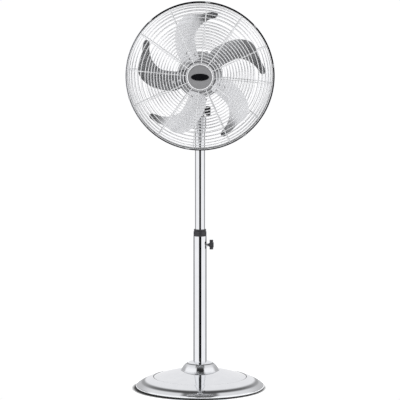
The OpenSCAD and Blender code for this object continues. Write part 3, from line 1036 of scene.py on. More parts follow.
@dataclass
class Pole:
    """Two telescoping tubes, the clamp collar between them and its boss."""

    lower_r: float = 20.5
    upper_r: float = 15.5
    wall: float = 1.5
    lower_top: float = 475.0
    upper_bottom: float = 275.0
    upper_top: float = 841.0
    clamp_z: float = 447.0

    def tube(self, name: str, radius: float, low: float, high: float) -> bpy.types.Object:
        """A tube with its rims rounded.

        Args:
            name: Object name.
            radius: Outer radius.
            low: Lower end.
            high: Upper end.

        Returns:
            The tube.
        """
        return Shape().add_turned(
            cylinder_profile(radius, low, high, 0.6, radius - self.wall), segments=160
        ).build(name)

    def build_collar(self) -> bpy.types.Object:
        """Builds the moulded collar: a sleeve in the lower tube, a band, a groove and a top ring."""
        top = self.lower_top
        bore = self.upper_r + 0.06
        pts = [
            (bore, top - 40), (18.9, top - 40), (18.9, top), (19.7, top + 0.1), (19.95, top + 1.2),
            (19.95, top + 13.2), (19.0, top + 14.8)
        ]
        pts += [
            (18.0, top + 15.1), (18.0, top + 16.3), (18.9, top + 16.8), (18.8, top + 20.3),
            (17.6, top + 21.3), (bore, top + 21.3)
        ]
        radii = [0, 0.4, 0, 0, 0.6, 0.9, 0.5, 0.2, 0.2, 0.4, 0.9, 0.5, 0]
        return Shape().add_turned(rounded_path(pts, radii, 4), segments=160).build("collar_moulding")

    def build_boss(self) -> bpy.types.Object:
        """Builds the threaded boss welded to the lower tube, saddled to its curve."""
        shape = Shape().add_turned(
            rounded_path([(3.06, 18.9), (7, 18.9), (7, 22.9), (3.06, 22.9)], [0, 0, 0.8, 0.4]), Along.X,
            (0, 0, self.clamp_z), 64
        )
        return shape.build("clamp_boss_piece")

    def build(self) -> None:
        """Builds and dresses the pole's pieces."""
        place_piece(
            self.tube("lower_tube_skin", self.lower_r, 30, self.lower_top), "stand", POLISHED, "lower_tube"
        )
        place_piece(
            self.tube("upper_tube_skin", self.upper_r, self.upper_bottom, self.upper_top), "mast", POLISHED,
            "upper_tube"
        )
        place_piece(self.build_collar(), "stand", BLACK, "clamp_collar")
        place_piece(self.build_boss(), "stand", POLISHED, "clamp_boss")
        HandKnob(
            "height_knob_piece", "height_clamp", "height_knob", self.clamp_z, 24.9, 4.2, 6.5, 29.5, 40.6,
            16, 5, 4.8, 0.9, 8.4, 42.3
        ).build()


# ---------------------------------------------------------------- neck


def plate_outline(half: float, low: float, centre: float, radius: float, steps: int = 24) -> np.ndarray:
    """Outline of an ear: straight sides from a flat foot up to a round end.

    Args:
        half: Half width of the foot.
        low: Height of the foot.
        centre: Height of the round end's centre.
        radius: Radius of the round end.
        steps: Segments in the round end.

    Returns:
        (n, 2) anticlockwise outline.
    """
    a = np.linspace(0, math.pi, steps + 1)
    return np.vstack([[[-half, low], [half, low]], np.c_[radius * np.cos(a), centre + radius * np.sin(a)]])


@dataclass
class Neck:
    """Tilting joint: forked socket on the mast, bolt and knob, yoke and the swinging boss."""

    tilt_z: float = TILT_Z
    socket_low: float = 805.0
    socket_top: float = 841.0
    ear_in: float = 9.2
    ear_out: float = 14.0
    crank_reach: float = 26.0
    motor_r: float = 44.0

    def build_socket(self) -> bpy.types.Object:
        """Builds the fork: a barrel with two beads, a saddle block and two round ears."""
        barrel = rounded_path(
            [
                (15.5, self.socket_low - 6), (17.4, self.socket_low - 6), (17.4, self.socket_low),
                (19, self.socket_low), (19, self.socket_top), (15.5, self.socket_top)
            ],
            [0, 0.6, 0.3, 1.0, 1.2, 0],
        )
        shape = Shape().add_turned(barrel, segments=128)
        block = rounded_path([(-14, -13), (14, -13), (14, 13), (-14, 13)], [3, 3, 3, 3])
        shape.joined(Shape().add_slab(block, self.socket_top - 2, self.socket_top + 6, 1.0))
        for low, high in ((self.ear_in, self.ear_out), (-self.ear_out, -self.ear_in)):
            ear = Shape().add_slab(plate_outline(13, self.socket_top + 2, self.tilt_z, 13), low, high, 0.9)
            shape.joined(ear.moved(TO_X))
        return shape.build("neck_fork")

    def build_bolt(self) -> bpy.types.Object:
        """Builds the tilt bolt with its six-sided head."""
        a = circle_angles(6)
        head = Shape().add_slab(np.c_[7.5 * np.cos(a), 7.5 * np.sin(a)], -19, -14, 0.7)
        rod = Shape().add_turned(cylinder_profile(4, -16, 26, 0.5), segments=48)
        return head.joined(rod).moved(TO_X, (0, 0, self.tilt_z)).build("tilt_bolt_piece")

    def build_yoke(self) -> bpy.types.Object:
        """Builds the yoke: a tongue round the bolt, a round table and the arm with the link's pin."""
        flip = plate_outline(10, 0, 893.5 - self.tilt_z, 12.6)
        tongue_path = np.c_[flip[:, 0], 893.5 - flip[:, 1]][::-1]
        shape = Shape().add_slab(tongue_path, -8.8, 8.8, 1.0).moved(TO_X)
        shape.joined(Shape().add_turned(cylinder_profile(22, 893, 899, 1.2), segments=128))
        a = np.linspace(0, math.pi, 17)
        arm = np.vstack([[[-6, 0], [6, 0]], np.c_[6 * np.cos(a), self.crank_reach + 6 * np.sin(a)]])
        shape.joined(Shape().add_slab(arm, 893, 899, 0.8))
        return shape.joined(
            Shape().add_turned(cylinder_profile(2.5, 897, 912, 0.4), Along.Z, (0, self.crank_reach, 0), 32)
        ).build("yoke_casting")

    def build_boss(self) -> bpy.types.Object:
        """Builds the boss that carries the motor: a flared column with two saddle pads."""
        column = [(6.1, 899.5), (17, 899.5), (17, 915), (18.5, 924), (22, 931), (22, 938), (6.1, 938)]
        shape = Shape().add_turned(rounded_path(column, [0, 1.2, 8, 8, 3, 0, 0]), segments=128)
        pad = rounded_path([(-24, -14), (24, -14), (24, 14), (-24, 14)], [5, 5, 5, 5])
        shape.joined(Shape().add_slab(pad, 923, 946, 2.0))
        piece = shape.build("pivot_boss_casting")
        cutter = Shape().add_turned(
            np.array([[0, -70.0], [self.motor_r - 0.4, -70.0], [self.motor_r - 0.4, 70.0], [0, 70.0]]),
            Along.Y, (0, 0, HEAD_Z), 160
        )
        cut_out(piece, cutter.build("boss_cutter"))
        return piece

    def build(self) -> None:
        """Builds and dresses the neck."""
        place_piece(self.build_socket(), "mast", CASTING, "neck_socket")
        place_piece(self.build_bolt(), "mast", STEEL, "tilt_bolt")
        place_piece(self.build_yoke(), "yoke", CASTING, "tilt_yoke")
        place_piece(self.build_boss(), "head", CASTING, "pivot_boss")
        HandKnob(
            "tilt_knob_piece", "tilt_clamp", "tilt_knob", self.tilt_z, 14.4, 9, 9, 17.6, 31, 14.6, 10, 1.7,
            2.2, 12.4, 32.5
        ).build()


# ---------------------------------------------------------------- head


@dataclass
class Motor:
    """Motor housing, the gearbox behind it and the controls on the gearbox."""

    radius: float = 44.0
    front: float = 48.0
    gear_back: float = -112.0
    gear_front: float = -62.5
    gear_half: float = 38.0
    gear_low: float = -34.0
    gear_high: float = 36.0
    wheel: tuple[float, float] = (20.0, 88.0)
    speed_at: tuple[float, float] = (-20.0, -10.0)
    gland_at: tuple[float, float] = (-20.0, 22.0)

    def build_front(self) -> bpy.types.Object:
        """Builds the front shell with its threaded neck and twelve vents."""
        r = self.radius
        pts = [
            (11, 40), (14, 40), (14, 45.5), (r - 6, 45.5), (r - 2.5, 42), (r - 2.5, -2), (r, -2), (r, 43),
            (r - 5, 48)
        ]
        pts += [(30, 48), (30, 58), (26, 58), (26, 48), (14, 48), (14, 54), (11, 54)]
        radii = [0, 0, 0, 2, 1.5, 0, 0.3, 2.5, 2.5, 0, 0.6, 0.5, 0, 0, 0.5, 0.5]
        piece = Shape().add_turned(
            rounded_path(pts, radii), segments=160
        ).build("motor_front_shell", Place.HEAD)
        vents = Shape()
        slot = rounded_path([(31.5, -1.6), (37.5, -1.6), (37.5, 1.6), (31.5, 1.6)], [1.5] * 4)
        for k in range(12):
            vents.joined(Shape().add_slab(slot, 40, 52).moved(rotation(Along.Z, 30 * k)))
        cut_out(piece, vents.build("vent_cutter", Place.HEAD))
        return piece

    def build_rear(self) -> bpy.types.Object:
        """Builds the rear shell with eighteen long vents round it."""
        r = self.radius
        pts = [
            (11, -60), (r - 8, -60), (r, -52), (r, -2), (r - 2.5, -2), (r - 2.5, -51), (r - 9, -57.5),
            (14, -57.5), (14, -46), (11, -46)
        ]
        radii = [0.4, 3, 4, 0.3, 0, 2, 2, 0, 0, 0]
        piece = Shape().add_turned(
            rounded_path(pts, radii), segments=180
        ).build("motor_rear_shell", Place.HEAD)
        slot = Shape().add_slab(
            rounded_path([(-44, -1.2), (-14, -1.2), (-14, 1.2), (-44, 1.2)], [1.1] * 4), r - 6, r + 6
        )
        slot.moved(TO_OUTWARDS)
        vents = Shape()
        for k in range(18):
            one = Shape([v.copy() for v in slot.verts], list(slot.faces), slot.count)
            vents.joined(one.moved(rotation(Along.Z, 20 * k)))
        cut_out(piece, vents.build("side_vent_cutter", Place.HEAD))
        return piece

    def gear_outline(self) -> np.ndarray:
        """The gearbox's rounded rectangle."""
        h, low, high = self.gear_half, self.gear_low, self.gear_high
        return rounded_path([(-h, low), (h, low), (h, high), (-h, high)], [12] * 4, 8)

    def build_housing(self) -> bpy.types.Object:
        """Builds the gearbox as an open box with rounded back edges and the block of the lifting knob."""
        insets = np.array([7.0, 3.2, 1.6, 0.5, 0.0, 0.0, 2.5, 2.5, 4.5])
        heights = self.gear_back + np.array([0.0, 0.5, 1.6, 3.2, 6.0, 49.5, 49.5, 5.5, 2.5])
        shape = Shape().add_rings(self.gear_outline(), insets, heights)
        block = rounded_path([(-4, 33.6), (16.5, 33.6), (16.5, 49), (-4, 49)], [0.3, 0.3, 3.5, 3.5])
        shape.joined(Shape().add_slab(block, self.gear_back + 8, self.gear_back + 42, 2.2))
        piece = shape.build("gearbox_shell", Place.HEAD)
        x, y = self.wheel
        stem = Shape().add_turned(cylinder_profile(2.9, 1003, 1040, 0), Along.Z, (x, y, 0), 48)
        stem.joined(Shape().add_turned(cylinder_profile(3.2, 920, 960, 0), Along.Z, (x, y, 0), 48))
        cut_out(piece, stem.build("stem_cutter"))
        return piece

    def build_lid(self) -> bpy.types.Object:
        """Builds the lid between the gearbox and the motor."""
        lid = Shape().add_slab(self.gear_outline(), self.gear_front, -60, 0.6)
        piece = lid.build("gearbox_lid_plate", Place.HEAD)
        hole = Shape().add_turned(cylinder_profile(13, -70, -50, 0), segments=64)
        cut_out(piece, hole.build("lid_cutter", Place.HEAD))
        return piece

    def build_speed_knob(self) -> bpy.types.Object:
        """Builds the speed knob: a fluted skirt with a bar to grip."""
        a = circle_angles(180)
        r = 11 - 0.35 * (0.5 + 0.5 * np.cos(30 * a)) ** 2
        shape = Shape().add_slab(np.c_[r * np.cos(a), r * np.sin(a)], -13, -0.4, 1.2)
        bar = rounded_path([(-2.2, -10.8), (2.2, -10.8), (2.2, 10.8), (-2.2, 10.8)], [2.0] * 4)
        shape.joined(Shape().add_slab(bar, -17, -12, 0.9))
        return shape.moved(None, (*self.speed_at, self.gear_back)).build("speed_knob_piece", Place.HEAD)

    def build_gland(self) -> bpy.types.Object:
        """Builds the gland where the lead would enter: a stepped collar with an open bore."""
        pts = [(3.2, -14), (5.5, -14), (5.5, -8), (7.5, -8), (7.5, 0), (5, 0), (5, 2.5), (3.2, 2.5)]
        shape = Shape().add_turned(rounded_path(pts, [0.8, 1.0, 0.3, 0.8, 0, 0, 0, 0]), segments=64)
        return shape.moved(None, (*self.gland_at, self.gear_back)).build("cord_gland_piece", Place.HEAD)

    def build_lifter(self) -> bpy.types.Object:
        """Builds the knob that is pulled up or pressed down to start and stop the swinging."""
        pts = [(0, 997), (2.5, 997), (2.5, 1033), (5, 1033), (5, 1037.5), (4, 1039), (0, 1039)]
        shape = Shape().add_turned(
            rounded_path(pts, [0, 0.3, 0.2, 0.6, 0.8, 1.2, 0]), Along.Z, (*self.wheel, 0), 64
        )
        return shape.build("swing_knob_piece")

    def build_crank(self) -> bpy.types.Object:
        """Builds the crank: a shaft, an arm and the pin under its end."""
        x, y = self.wheel
        a = np.linspace(0, math.pi, 17)
        arm = np.vstack(
            [
                np.c_[6 * np.cos(a + math.pi), 6 * np.sin(a + math.pi)],
                np.c_[5 * np.cos(a), 26 + 5 * np.sin(a)]
            ]
        )
        shape = Shape().add_slab(arm, 917, 923, 0.7)
        shape.joined(Shape().add_turned(cylinder_profile(3, 917.5, 986, 0.4), segments=40))
        shape.joined(Shape().add_turned(cylinder_profile(2.5, 905, 922, 0.4), Along.Z, (0, 26, 0), 32))
        return shape.moved(None, (x, y, 0)).build("crank_arm_piece")

    def build_link(self) -> bpy.types.Object:
        """Builds the link bar between the crank and the yoke, with an eye at each end."""
        reach = math.hypot(*self.wheel)
        a = np.linspace(-1.0, 1.0, 17) * (math.pi / 2 + 0.65)
        right = np.c_[reach + 5.6 * np.cos(a), 5.6 * np.sin(a)]
        left = np.c_[-5.6 * np.cos(a), -5.6 * np.sin(a)]
        shape = Shape().add_slab(np.vstack([right, left]), 907, 911, 0.5)
        turn = rotation(Along.Z, math.degrees(math.atan2(self.wheel[1], self.wheel[0])))
        piece = shape.moved(turn, (0, 26, 0)).build("link_bar_piece")
        holes = Shape()
        for px, py in ((0, 26), (self.wheel[0], 26 + self.wheel[1])):
            holes.joined(Shape().add_turned(cylinder_profile(2.56, 900, 920, 0), Along.Z, (px, py, 0), 40))
        cut_out(piece, holes.build("link_cutter"))
        return piece

    def build(self) -> None:
        """Builds and dresses the motor, the gearbox and their controls."""
        place_piece(self.build_front(), "head", CASTING, "motor_front_cover")
        place_piece(self.build_rear(), "head", CASTING, "motor_rear_cover")
        place_piece(self.build_housing(), "head", ENAMEL, "gearbox_housing")
        place_piece(self.build_lid(), "head", ENAMEL, "gearbox_lid")
        place_piece(self.build_speed_knob(), "speed_control", BLACK, "speed_knob")
        place_piece(self.build_gland(), "head", BLACK, "cord_gland")
        place_piece(self.build_lifter(), "swing_clutch", BLACK, "osc_knob")
        place_piece(self.build_crank(), "crank_arm", STEEL, "crank")
        place_piece(self.build_link(), "swing_link", STEEL, "link_rod")


@dataclass
class Guard:
    """The wire cage: front and rear guards, the channel round them, its clips and the nut."""

    cage_r: float = 225.0
    ring_r: float = 1.15
    rib_r: float = 1.5
    rib_count: int = 12
    rib_start: float = 24.5
    pitch: float = 8.8
    bend_r: float = 54.0
    bend_at: float = 166.4
    rim_at: float = 220.4
    rim_r: float = 2.6
    front_face: float = 164.0
    rear_face: float = 49.7
    rim_front: float = 109.0
    rim_rear: float = 103.7
    ring_step: float = 11.5
    clips: tuple[float, ...] = (84, 42, 8, -53, -100, -163, 132)

    def ring(self, shape: Shape, at: float, zl: float, wire: float, sides: int = 10) -> None:
        """Adds one ring of wire.

        Args:
            shape: Shape that it joins.
            at: Radius of the ring.
            zl: Place along the fan's axis.
            wire: Wire radius.
            sides: Sides of the wire.
        """
        b = circle_angles(sides)
        shape.add_turned(np.c_[at + wire * np.cos(b), zl + wire * np.sin(b)], segments=144)

    def ribs(self, shape: Shape, first: float, face: float, side: float) -> None:
        """Adds the radial wires: straight from the first radius, then a quarter turn to the rim.

        Args:
            shape: Shape that they join.
            first: Radius where they start.
            face: Place of the flat part along the fan's axis.
            side: 1 for the front guard, -1 for the rear one.
        """
        t = np.linspace(0, math.pi / 2, 19)
        bend = np.c_[self.bend_at + self.bend_r * np.sin(t), face - side * self.bend_r * (1 - np.cos(t))]
        flat = np.c_[np.linspace(first, self.bend_at, 8)[:-1], np.full(7, face)]
        line = np.vstack([flat, bend])
        path = np.c_[line[:, 0], 0 * line[:, 0], line[:, 1]]
        for k in range(self.rib_count):
            turn = rotation(Along.Z, self.rib_start + 360 / self.rib_count * k)
            shape.joined(Shape().add_tube(path, self.rib_r, 10).moved(turn))

    def build_half(
        self, name: str, first_ring: float, first_rib: float, face: float, side: float
    ) -> bpy.types.Object:
        """Builds one guard.

        Args:
            name: Object name.
            first_ring: Radius of the innermost ring.
            first_rib: Radius where the ribs start.
            face: Place of the ribs' flat part along the fan's axis.
            side: 1 for the front guard, -1 for the rear one.

        Returns:
            The guard.
        """
        shape = Shape()
        over = self.rib_r + self.ring_r - 0.5
        for at in np.arange(first_ring, self.bend_at, self.pitch):
            self.ring(shape, float(at), face + side * over, self.ring_r)
        for i in range(1, 7):
            a = math.radians(90 - i * self.ring_step)
            reach = self.bend_r + over
            self.ring(
                shape, self.bend_at + reach * math.cos(a),
                face - side * self.bend_r + side * reach * math.sin(a), self.ring_r
            )
        self.ribs(shape, first_rib, face, side)
        if side > 0:
            self.ring(shape, 41.3, face + 0.6, 1.5)
        else:
            plate = [(30.05, 48), (66, 48), (70, 48.6), (70, 50), (66, 50), (62, 49.8), (30.05, 50)]
            shape.joined(Shape().add_turned(rounded_path(plate, [0, 1, 0.5, 0.5, 1, 1, 0]), segments=144))
        return shape.build(name, Place.HEAD, 60)

    def build_rims(self) -> bpy.types.Object:
        """Builds the two thick wires that end the guards, side by side in the channel."""
        shape = Shape()
        for zl in (self.rim_front, self.rim_rear):
            self.ring(shape, self.rim_at, zl, self.rim_r, 20)
        return shape.build("rim_wires", Place.HEAD, 60)

    def build_channel(self) -> bpy.types.Object:
        """Builds the channel that holds the two rims together."""
        r = self.cage_r
        pts = [
            (r - 2.7, 99.7), (r, 99.7), (r, 113.3), (r - 2.7, 113.3), (r - 2.7, 112.5), (r - 0.9, 112.2),
            (r - 0.9, 100.8), (r - 2.7, 100.5)
        ]
        return Shape().add_turned(
            rounded_path(pts, [0.3, 1.2, 1.2, 0.3, 0.3, 0.6, 0.6, 0.3]), segments=256
        ).build("rim_channel", Place.HEAD)

    def build_clips(self) -> bpy.types.Object:
        """Builds the spring clips over the channel, each a bent strip with a rounded back."""
        r = self.cage_r
        path = [
            (r - 2.9, 98.4), (r + 1.2, 98.4), (r + 1.2, 114.6), (r - 2.9, 114.6), (r - 2.9, 113.5),
            (r + 0.1, 113.4), (r + 0.1, 99.6), (r - 2.9, 99.5)
        ]
        line = rounded_path(path, [0.4, 1.5, 1.5, 0.4, 0.3, 0.8, 0.8, 0.3])
        shape = Shape()
        for angle in self.clips:
            half = 6.0 if angle != 84 else 7.5
            shape.joined(
                Shape().add_slab(line, -half, half).moved(TO_SIDE_ON).moved(rotation(Along.Z, angle))
            )
        return shape.build("rim_clips", Place.HEAD)

    def build_nut(self) -> bpy.types.Object:
        """Builds the nut that holds the rear guard, with eight finger notches round it."""
        a = circle_angles(240)
        profile = rounded_path([(30.05, 50), (41, 50), (41, 56.5), (30.05, 56.5)], [0, 0.8, 1.2, 0.5])
        share = ((profile[:, 0] - 30.05) / 10.95)[None, :]
        dip = 2.4 * np.exp(-((((a / TAU * 8) % 1 - 0.5) / 0.16) ** 2))[:, None]
        radius = profile[:, 0][None, :] - dip * share
        grid = np.stack(
            [radius * np.cos(a)[:, None], radius * np.sin(a)[:, None], profile[:, 1][None, :] + 0 * radius],
            -1
        )
        return Shape().add_grid(grid, wrap_rows=True, wrap_cols=True).build("guard_nut_piece", Place.HEAD)

    def build(self) -> None:
        """Builds and dresses the cage."""
        place_piece(
            self.build_half("front_guard_wires", 50, 41.3, self.front_face, 1), "head", GUARD_CHROME,
            "front_guard"
        )
        place_piece(
            self.build_half("rear_guard_wires", 84, 64, self.rear_face, -1), "head", GUARD_CHROME,
            "rear_guard"
        )
        place_piece(self.build_rims(), "head", RIM_CHROME_PAINTED_REFLECTION)
        place_piece(self.build_channel(), "head", RIM_CHROME_PAINTED_REFLECTION, "trim_ring")
        place_piece(self.build_clips(), "head", GUARD_CHROME, "guard_clips")
        place_piece(self.build_nut(), "head", BLACK, "guard_nut")


@dataclass
class Badge:
    """Round badge in the guard's middle: bright bezel, brushed face and a plain oval plaque."""

    face_r: float = 36.0
    bezel_r: float = 39.3
    oval: tuple[float, float] = (27.0, 10.6)

    def build_bezel(self) -> bpy.types.Object:
        """Builds the bright bezel with its rolled crown."""
        r = self.bezel_r
        pts = [
            (self.face_r, 165.6), (r, 165.6), (r, 169), (r - 0.5, 171), (r - 1.5, 171.6), (r - 2.5, 171),
            (self.face_r, 169.6)
        ]
        return Shape().add_turned(
            rounded_path(pts, [0, 0.3, 1, 0.9, 0.9, 1, 0.4], 6), segments=192
        ).build("badge_bezel_ring", Place.HEAD)

    def build_face(self) -> bpy.types.Object:
        """Builds the face, a little dished, with the plate that clamps it behind the ribs."""
        dish = np.linspace(self.face_r, 0, 12)
        front = np.c_[dish, 168.4 - 0.5 * (1 - (dish / self.face_r) ** 2)]
        back = np.array(
            [[0, 160.4], [46, 160.4], [46, 162.5], [38.8, 162.5], [38.8, 165.6], [self.face_r, 165.6]]
        )
        return Shape().add_turned(np.vstack([back, front]), segments=160).build("badge_face", Place.HEAD)

    def build_oval(self) -> bpy.types.Object:
        """Builds the dark oval, with nothing written on it."""
        a = circle_angles(120)
        outline = np.c_[self.oval[0] * np.cos(a), self.oval[1] * np.sin(a)]
        return Shape().add_slab(outline, 167.6, 169.4, 0.5).build("badge_oval", Place.HEAD)

    def build(self) -> None:
        """Builds and dresses the badge."""
        place_piece(self.build_bezel(), "head", BADGE_LIGHT, "badge_bezel")
        place_piece(self.build_face(), "head", BADGE_FACE, "badge_disc")
        place_piece(self.build_oval(), "head", PLAQUE, "badge_plaque")


@dataclass
class Rotor:
    """Five sheet blades riveted to a five-armed spider, with its nut on the shaft."""

    blades: int = 5
    z: float = 112.0
    pitch: float = 18.0
    camber: float = 260.0
    thick: float = 1.2
    chord_turn: float = 28.0
    outer: tuple[tuple[float, float], ...] = (
        (70, 58), (63, 96), (48, 148), (37.5, 178), (29.5, 187), (19, 186), (10, 193), (5, 197.5), (3, 197)
    )
    inner: tuple[tuple[float, float], ...] = (
        (19, 52), (26, 84), (25.6, 121), (18, 150), (10, 169), (3, 181), (1.6, 187), (1.8, 194)
    )
    rivets: tuple[tuple[float, float], ...] = ((48, 62), (48, 80), (31, 66))
    rivet_lean: float = 14.0

    def sheet(self, points: np.ndarray) -> np.ndarray:
        """Height of a blade's front face: z + R cos(pitch) - sqrt(R^2 - (v + R sin(pitch))^2).

        Args:
            points: (..., 2) array; v is each point's distance along the chord's direction.

        Returns:
            The heights.
        """
        c, s = math.cos(math.radians(self.chord_turn)), math.sin(math.radians(self.chord_turn))
        v = points[..., 1] * c - points[..., 0] * s
        lean = math.radians(self.pitch)
        return self.z + self.camber * math.cos(lean) - np.sqrt(
            self.camber**2 - (v + self.camber * math.sin(lean)) ** 2
        )

    @staticmethod
    def resampled(line: np.ndarray, count: int) -> np.ndarray:
        """Points at even distances along a line.

        Args:
            line: (n, 2) array.
            count: Number of points wanted.

        Returns:
            (count, 2) array.
        """
        run = np.r_[0, np.cumsum(np.linalg.norm(np.diff(line, axis=0), axis=1))]
        at = np.linspace(0, run[-1], count)
        return np.c_[np.interp(at, run, line[:, 0]), np.interp(at, run, line[:, 1])]

    def sheet_between(
        self, left: np.ndarray, right: np.ndarray, front: float, thick: float, across: int
    ) -> Shape:
        """A sheet between two edges, following the blade's curve, with a fine rounded edge.

        Args:
            left: One edge, root to tip.
            right: The other edge, root to tip.
            front: Distance of its front face behind the blade's.
            thick: Thickness.
            across: Points from edge to edge.

        Returns:
            The closed sheet.
        """
        t = np.linspace(0, 1, across)[None, :, None]
        flat = left[:, None] * (1 - t) + right[:, None] * t
        high = self.sheet(flat) - front
        top = np.concatenate([flat, high[..., None]], -1)
        low = np.concatenate([flat, high[..., None] - thick], -1)[:, ::-1]
        return Shape().add_grid(np.concatenate([top, low], 1), wrap_cols=True, caps=True)

    def build_blade(self, k: int) -> bpy.types.Object:
        """Builds one blade.

        Args:
            k: Its number, from 0.

        Returns:
            The blade.
        """
        outer = self.resampled(smooth_line([polar(a, r) for a, r in self.outer], 12), 60)
        inner = self.resampled(smooth_line([polar(a, r) for a, r in self.inner], 12), 60)
        shape = self.sheet_between(outer, inner, 0, self.thick, 26)
        return shape.moved(rotation(Along.Z, 72 * k)).build(f"blade_{k + 1}_sheet", Place.HEAD, 50)

    def build_spider(self) -> bpy.types.Object:
        """Builds the spider: a pressed hub and five arms behind the blades."""
        left = np.array([polar(a, r) for a, r in ((62, 26), (61, 48), (59, 70), (52, 92))])
        right = np.array([polar(a, r) for a, r in ((-4, 26), (16, 56), (26, 74), (38, 92))])
        shape = Shape()
        for k in range(self.blades):
            arm = self.sheet_between(self.resampled(left, 24), self.resampled(right, 24), self.thick, 1.6, 16)
            shape.joined(arm.moved(rotation(Along.Z, 72 * k)))
        hub = [(4, 96), (12, 96), (12, 107), (30, 107.6), (30, 114), (27, 115), (4, 115)]
        shape.joined(Shape().add_turned(rounded_path(hub, [0, 1, 1, 1, 2, 2, 0]), segments=120))
        return shape.build("spider_pressing", Place.HEAD)

    def build_rivets(self) -> bpy.types.Object:
        """Builds the rivets: a domed head on each blade and a flat one behind the spider."""
        pts = [(0, -4.6), (4, -4.6), (4, -3.2), (2.2, -3.2), (2.2, -0.1)]
        pts += [(4.6, -0.1), (4.6, 0.9), (3.4, 2.2), (1.6, 2.8), (0, 2.9)]
        profile = rounded_path(pts, [0, 0.6, 0, 0, 0, 0.4, 0.8, 1.0, 0.8, 0])
        about = rotation(Along.Z, self.chord_turn)
        lean = about @ rotation(Along.X, self.rivet_lean) @ about.T
        shape = Shape()
        for k in range(self.blades):
            for a, r in self.rivets:
                x, y = polar(a, r)
                z = float(self.sheet(np.array([x, y])))
                head = Shape().add_turned(profile, segments=36)
                shape.joined(head.moved(lean, (x, y, z)).moved(rotation(Along.Z, 72 * k)))
        return shape.build("blade_rivet_heads", Place.HEAD)

    def build_nut(self) -> bpy.types.Object:
        """Builds the fluted nut with its domed cap."""
        a = circle_angles(160)
        r = 15 - 1.0 * (0.5 + 0.5 * np.cos(8 * a)) ** 3
        shape = Shape().add_slab(np.c_[r * np.cos(a), r * np.sin(a)], 115, 129, 1.2, 4)
        t = np.linspace(0, 1.0, 9)
        cap = np.vstack([[[0, 128]], [[12, 128]], np.c_[14 * np.sin(t[::-1]), 120 + 14 * np.cos(t[::-1])]])
        return shape.joined(Shape().add_turned(cap, segments=96)).build("hub_nut_piece", Place.HEAD)

    def build(self) -> None:
        """Builds and dresses the rotor."""
        for k in range(self.blades):
            place_piece(self.build_blade(k), "rotor", BLADE, f"blade_{k + 1}")
        place_piece(self.build_spider(), "rotor", SPIDER, "blade_spider")
        place_piece(self.build_rivets(), "rotor", RIVET, "blade_rivets")
        place_piece(self.build_nut(), "rotor", BLACK, "hub_nut")


def dress_kept_nodes() -> None:
    """Gives every CAD node that is still shown the finish of its slot."""
    for part in frame["record"]["subparts"]:
        node = frame["nodes"][part["node"]]
        finish = FINISH_OF_SLOT[part["material_slot"]]
        node.data.materials.clear()
        node.data.materials.append(finish.material())


# ---------------------------------------------------------------- studio


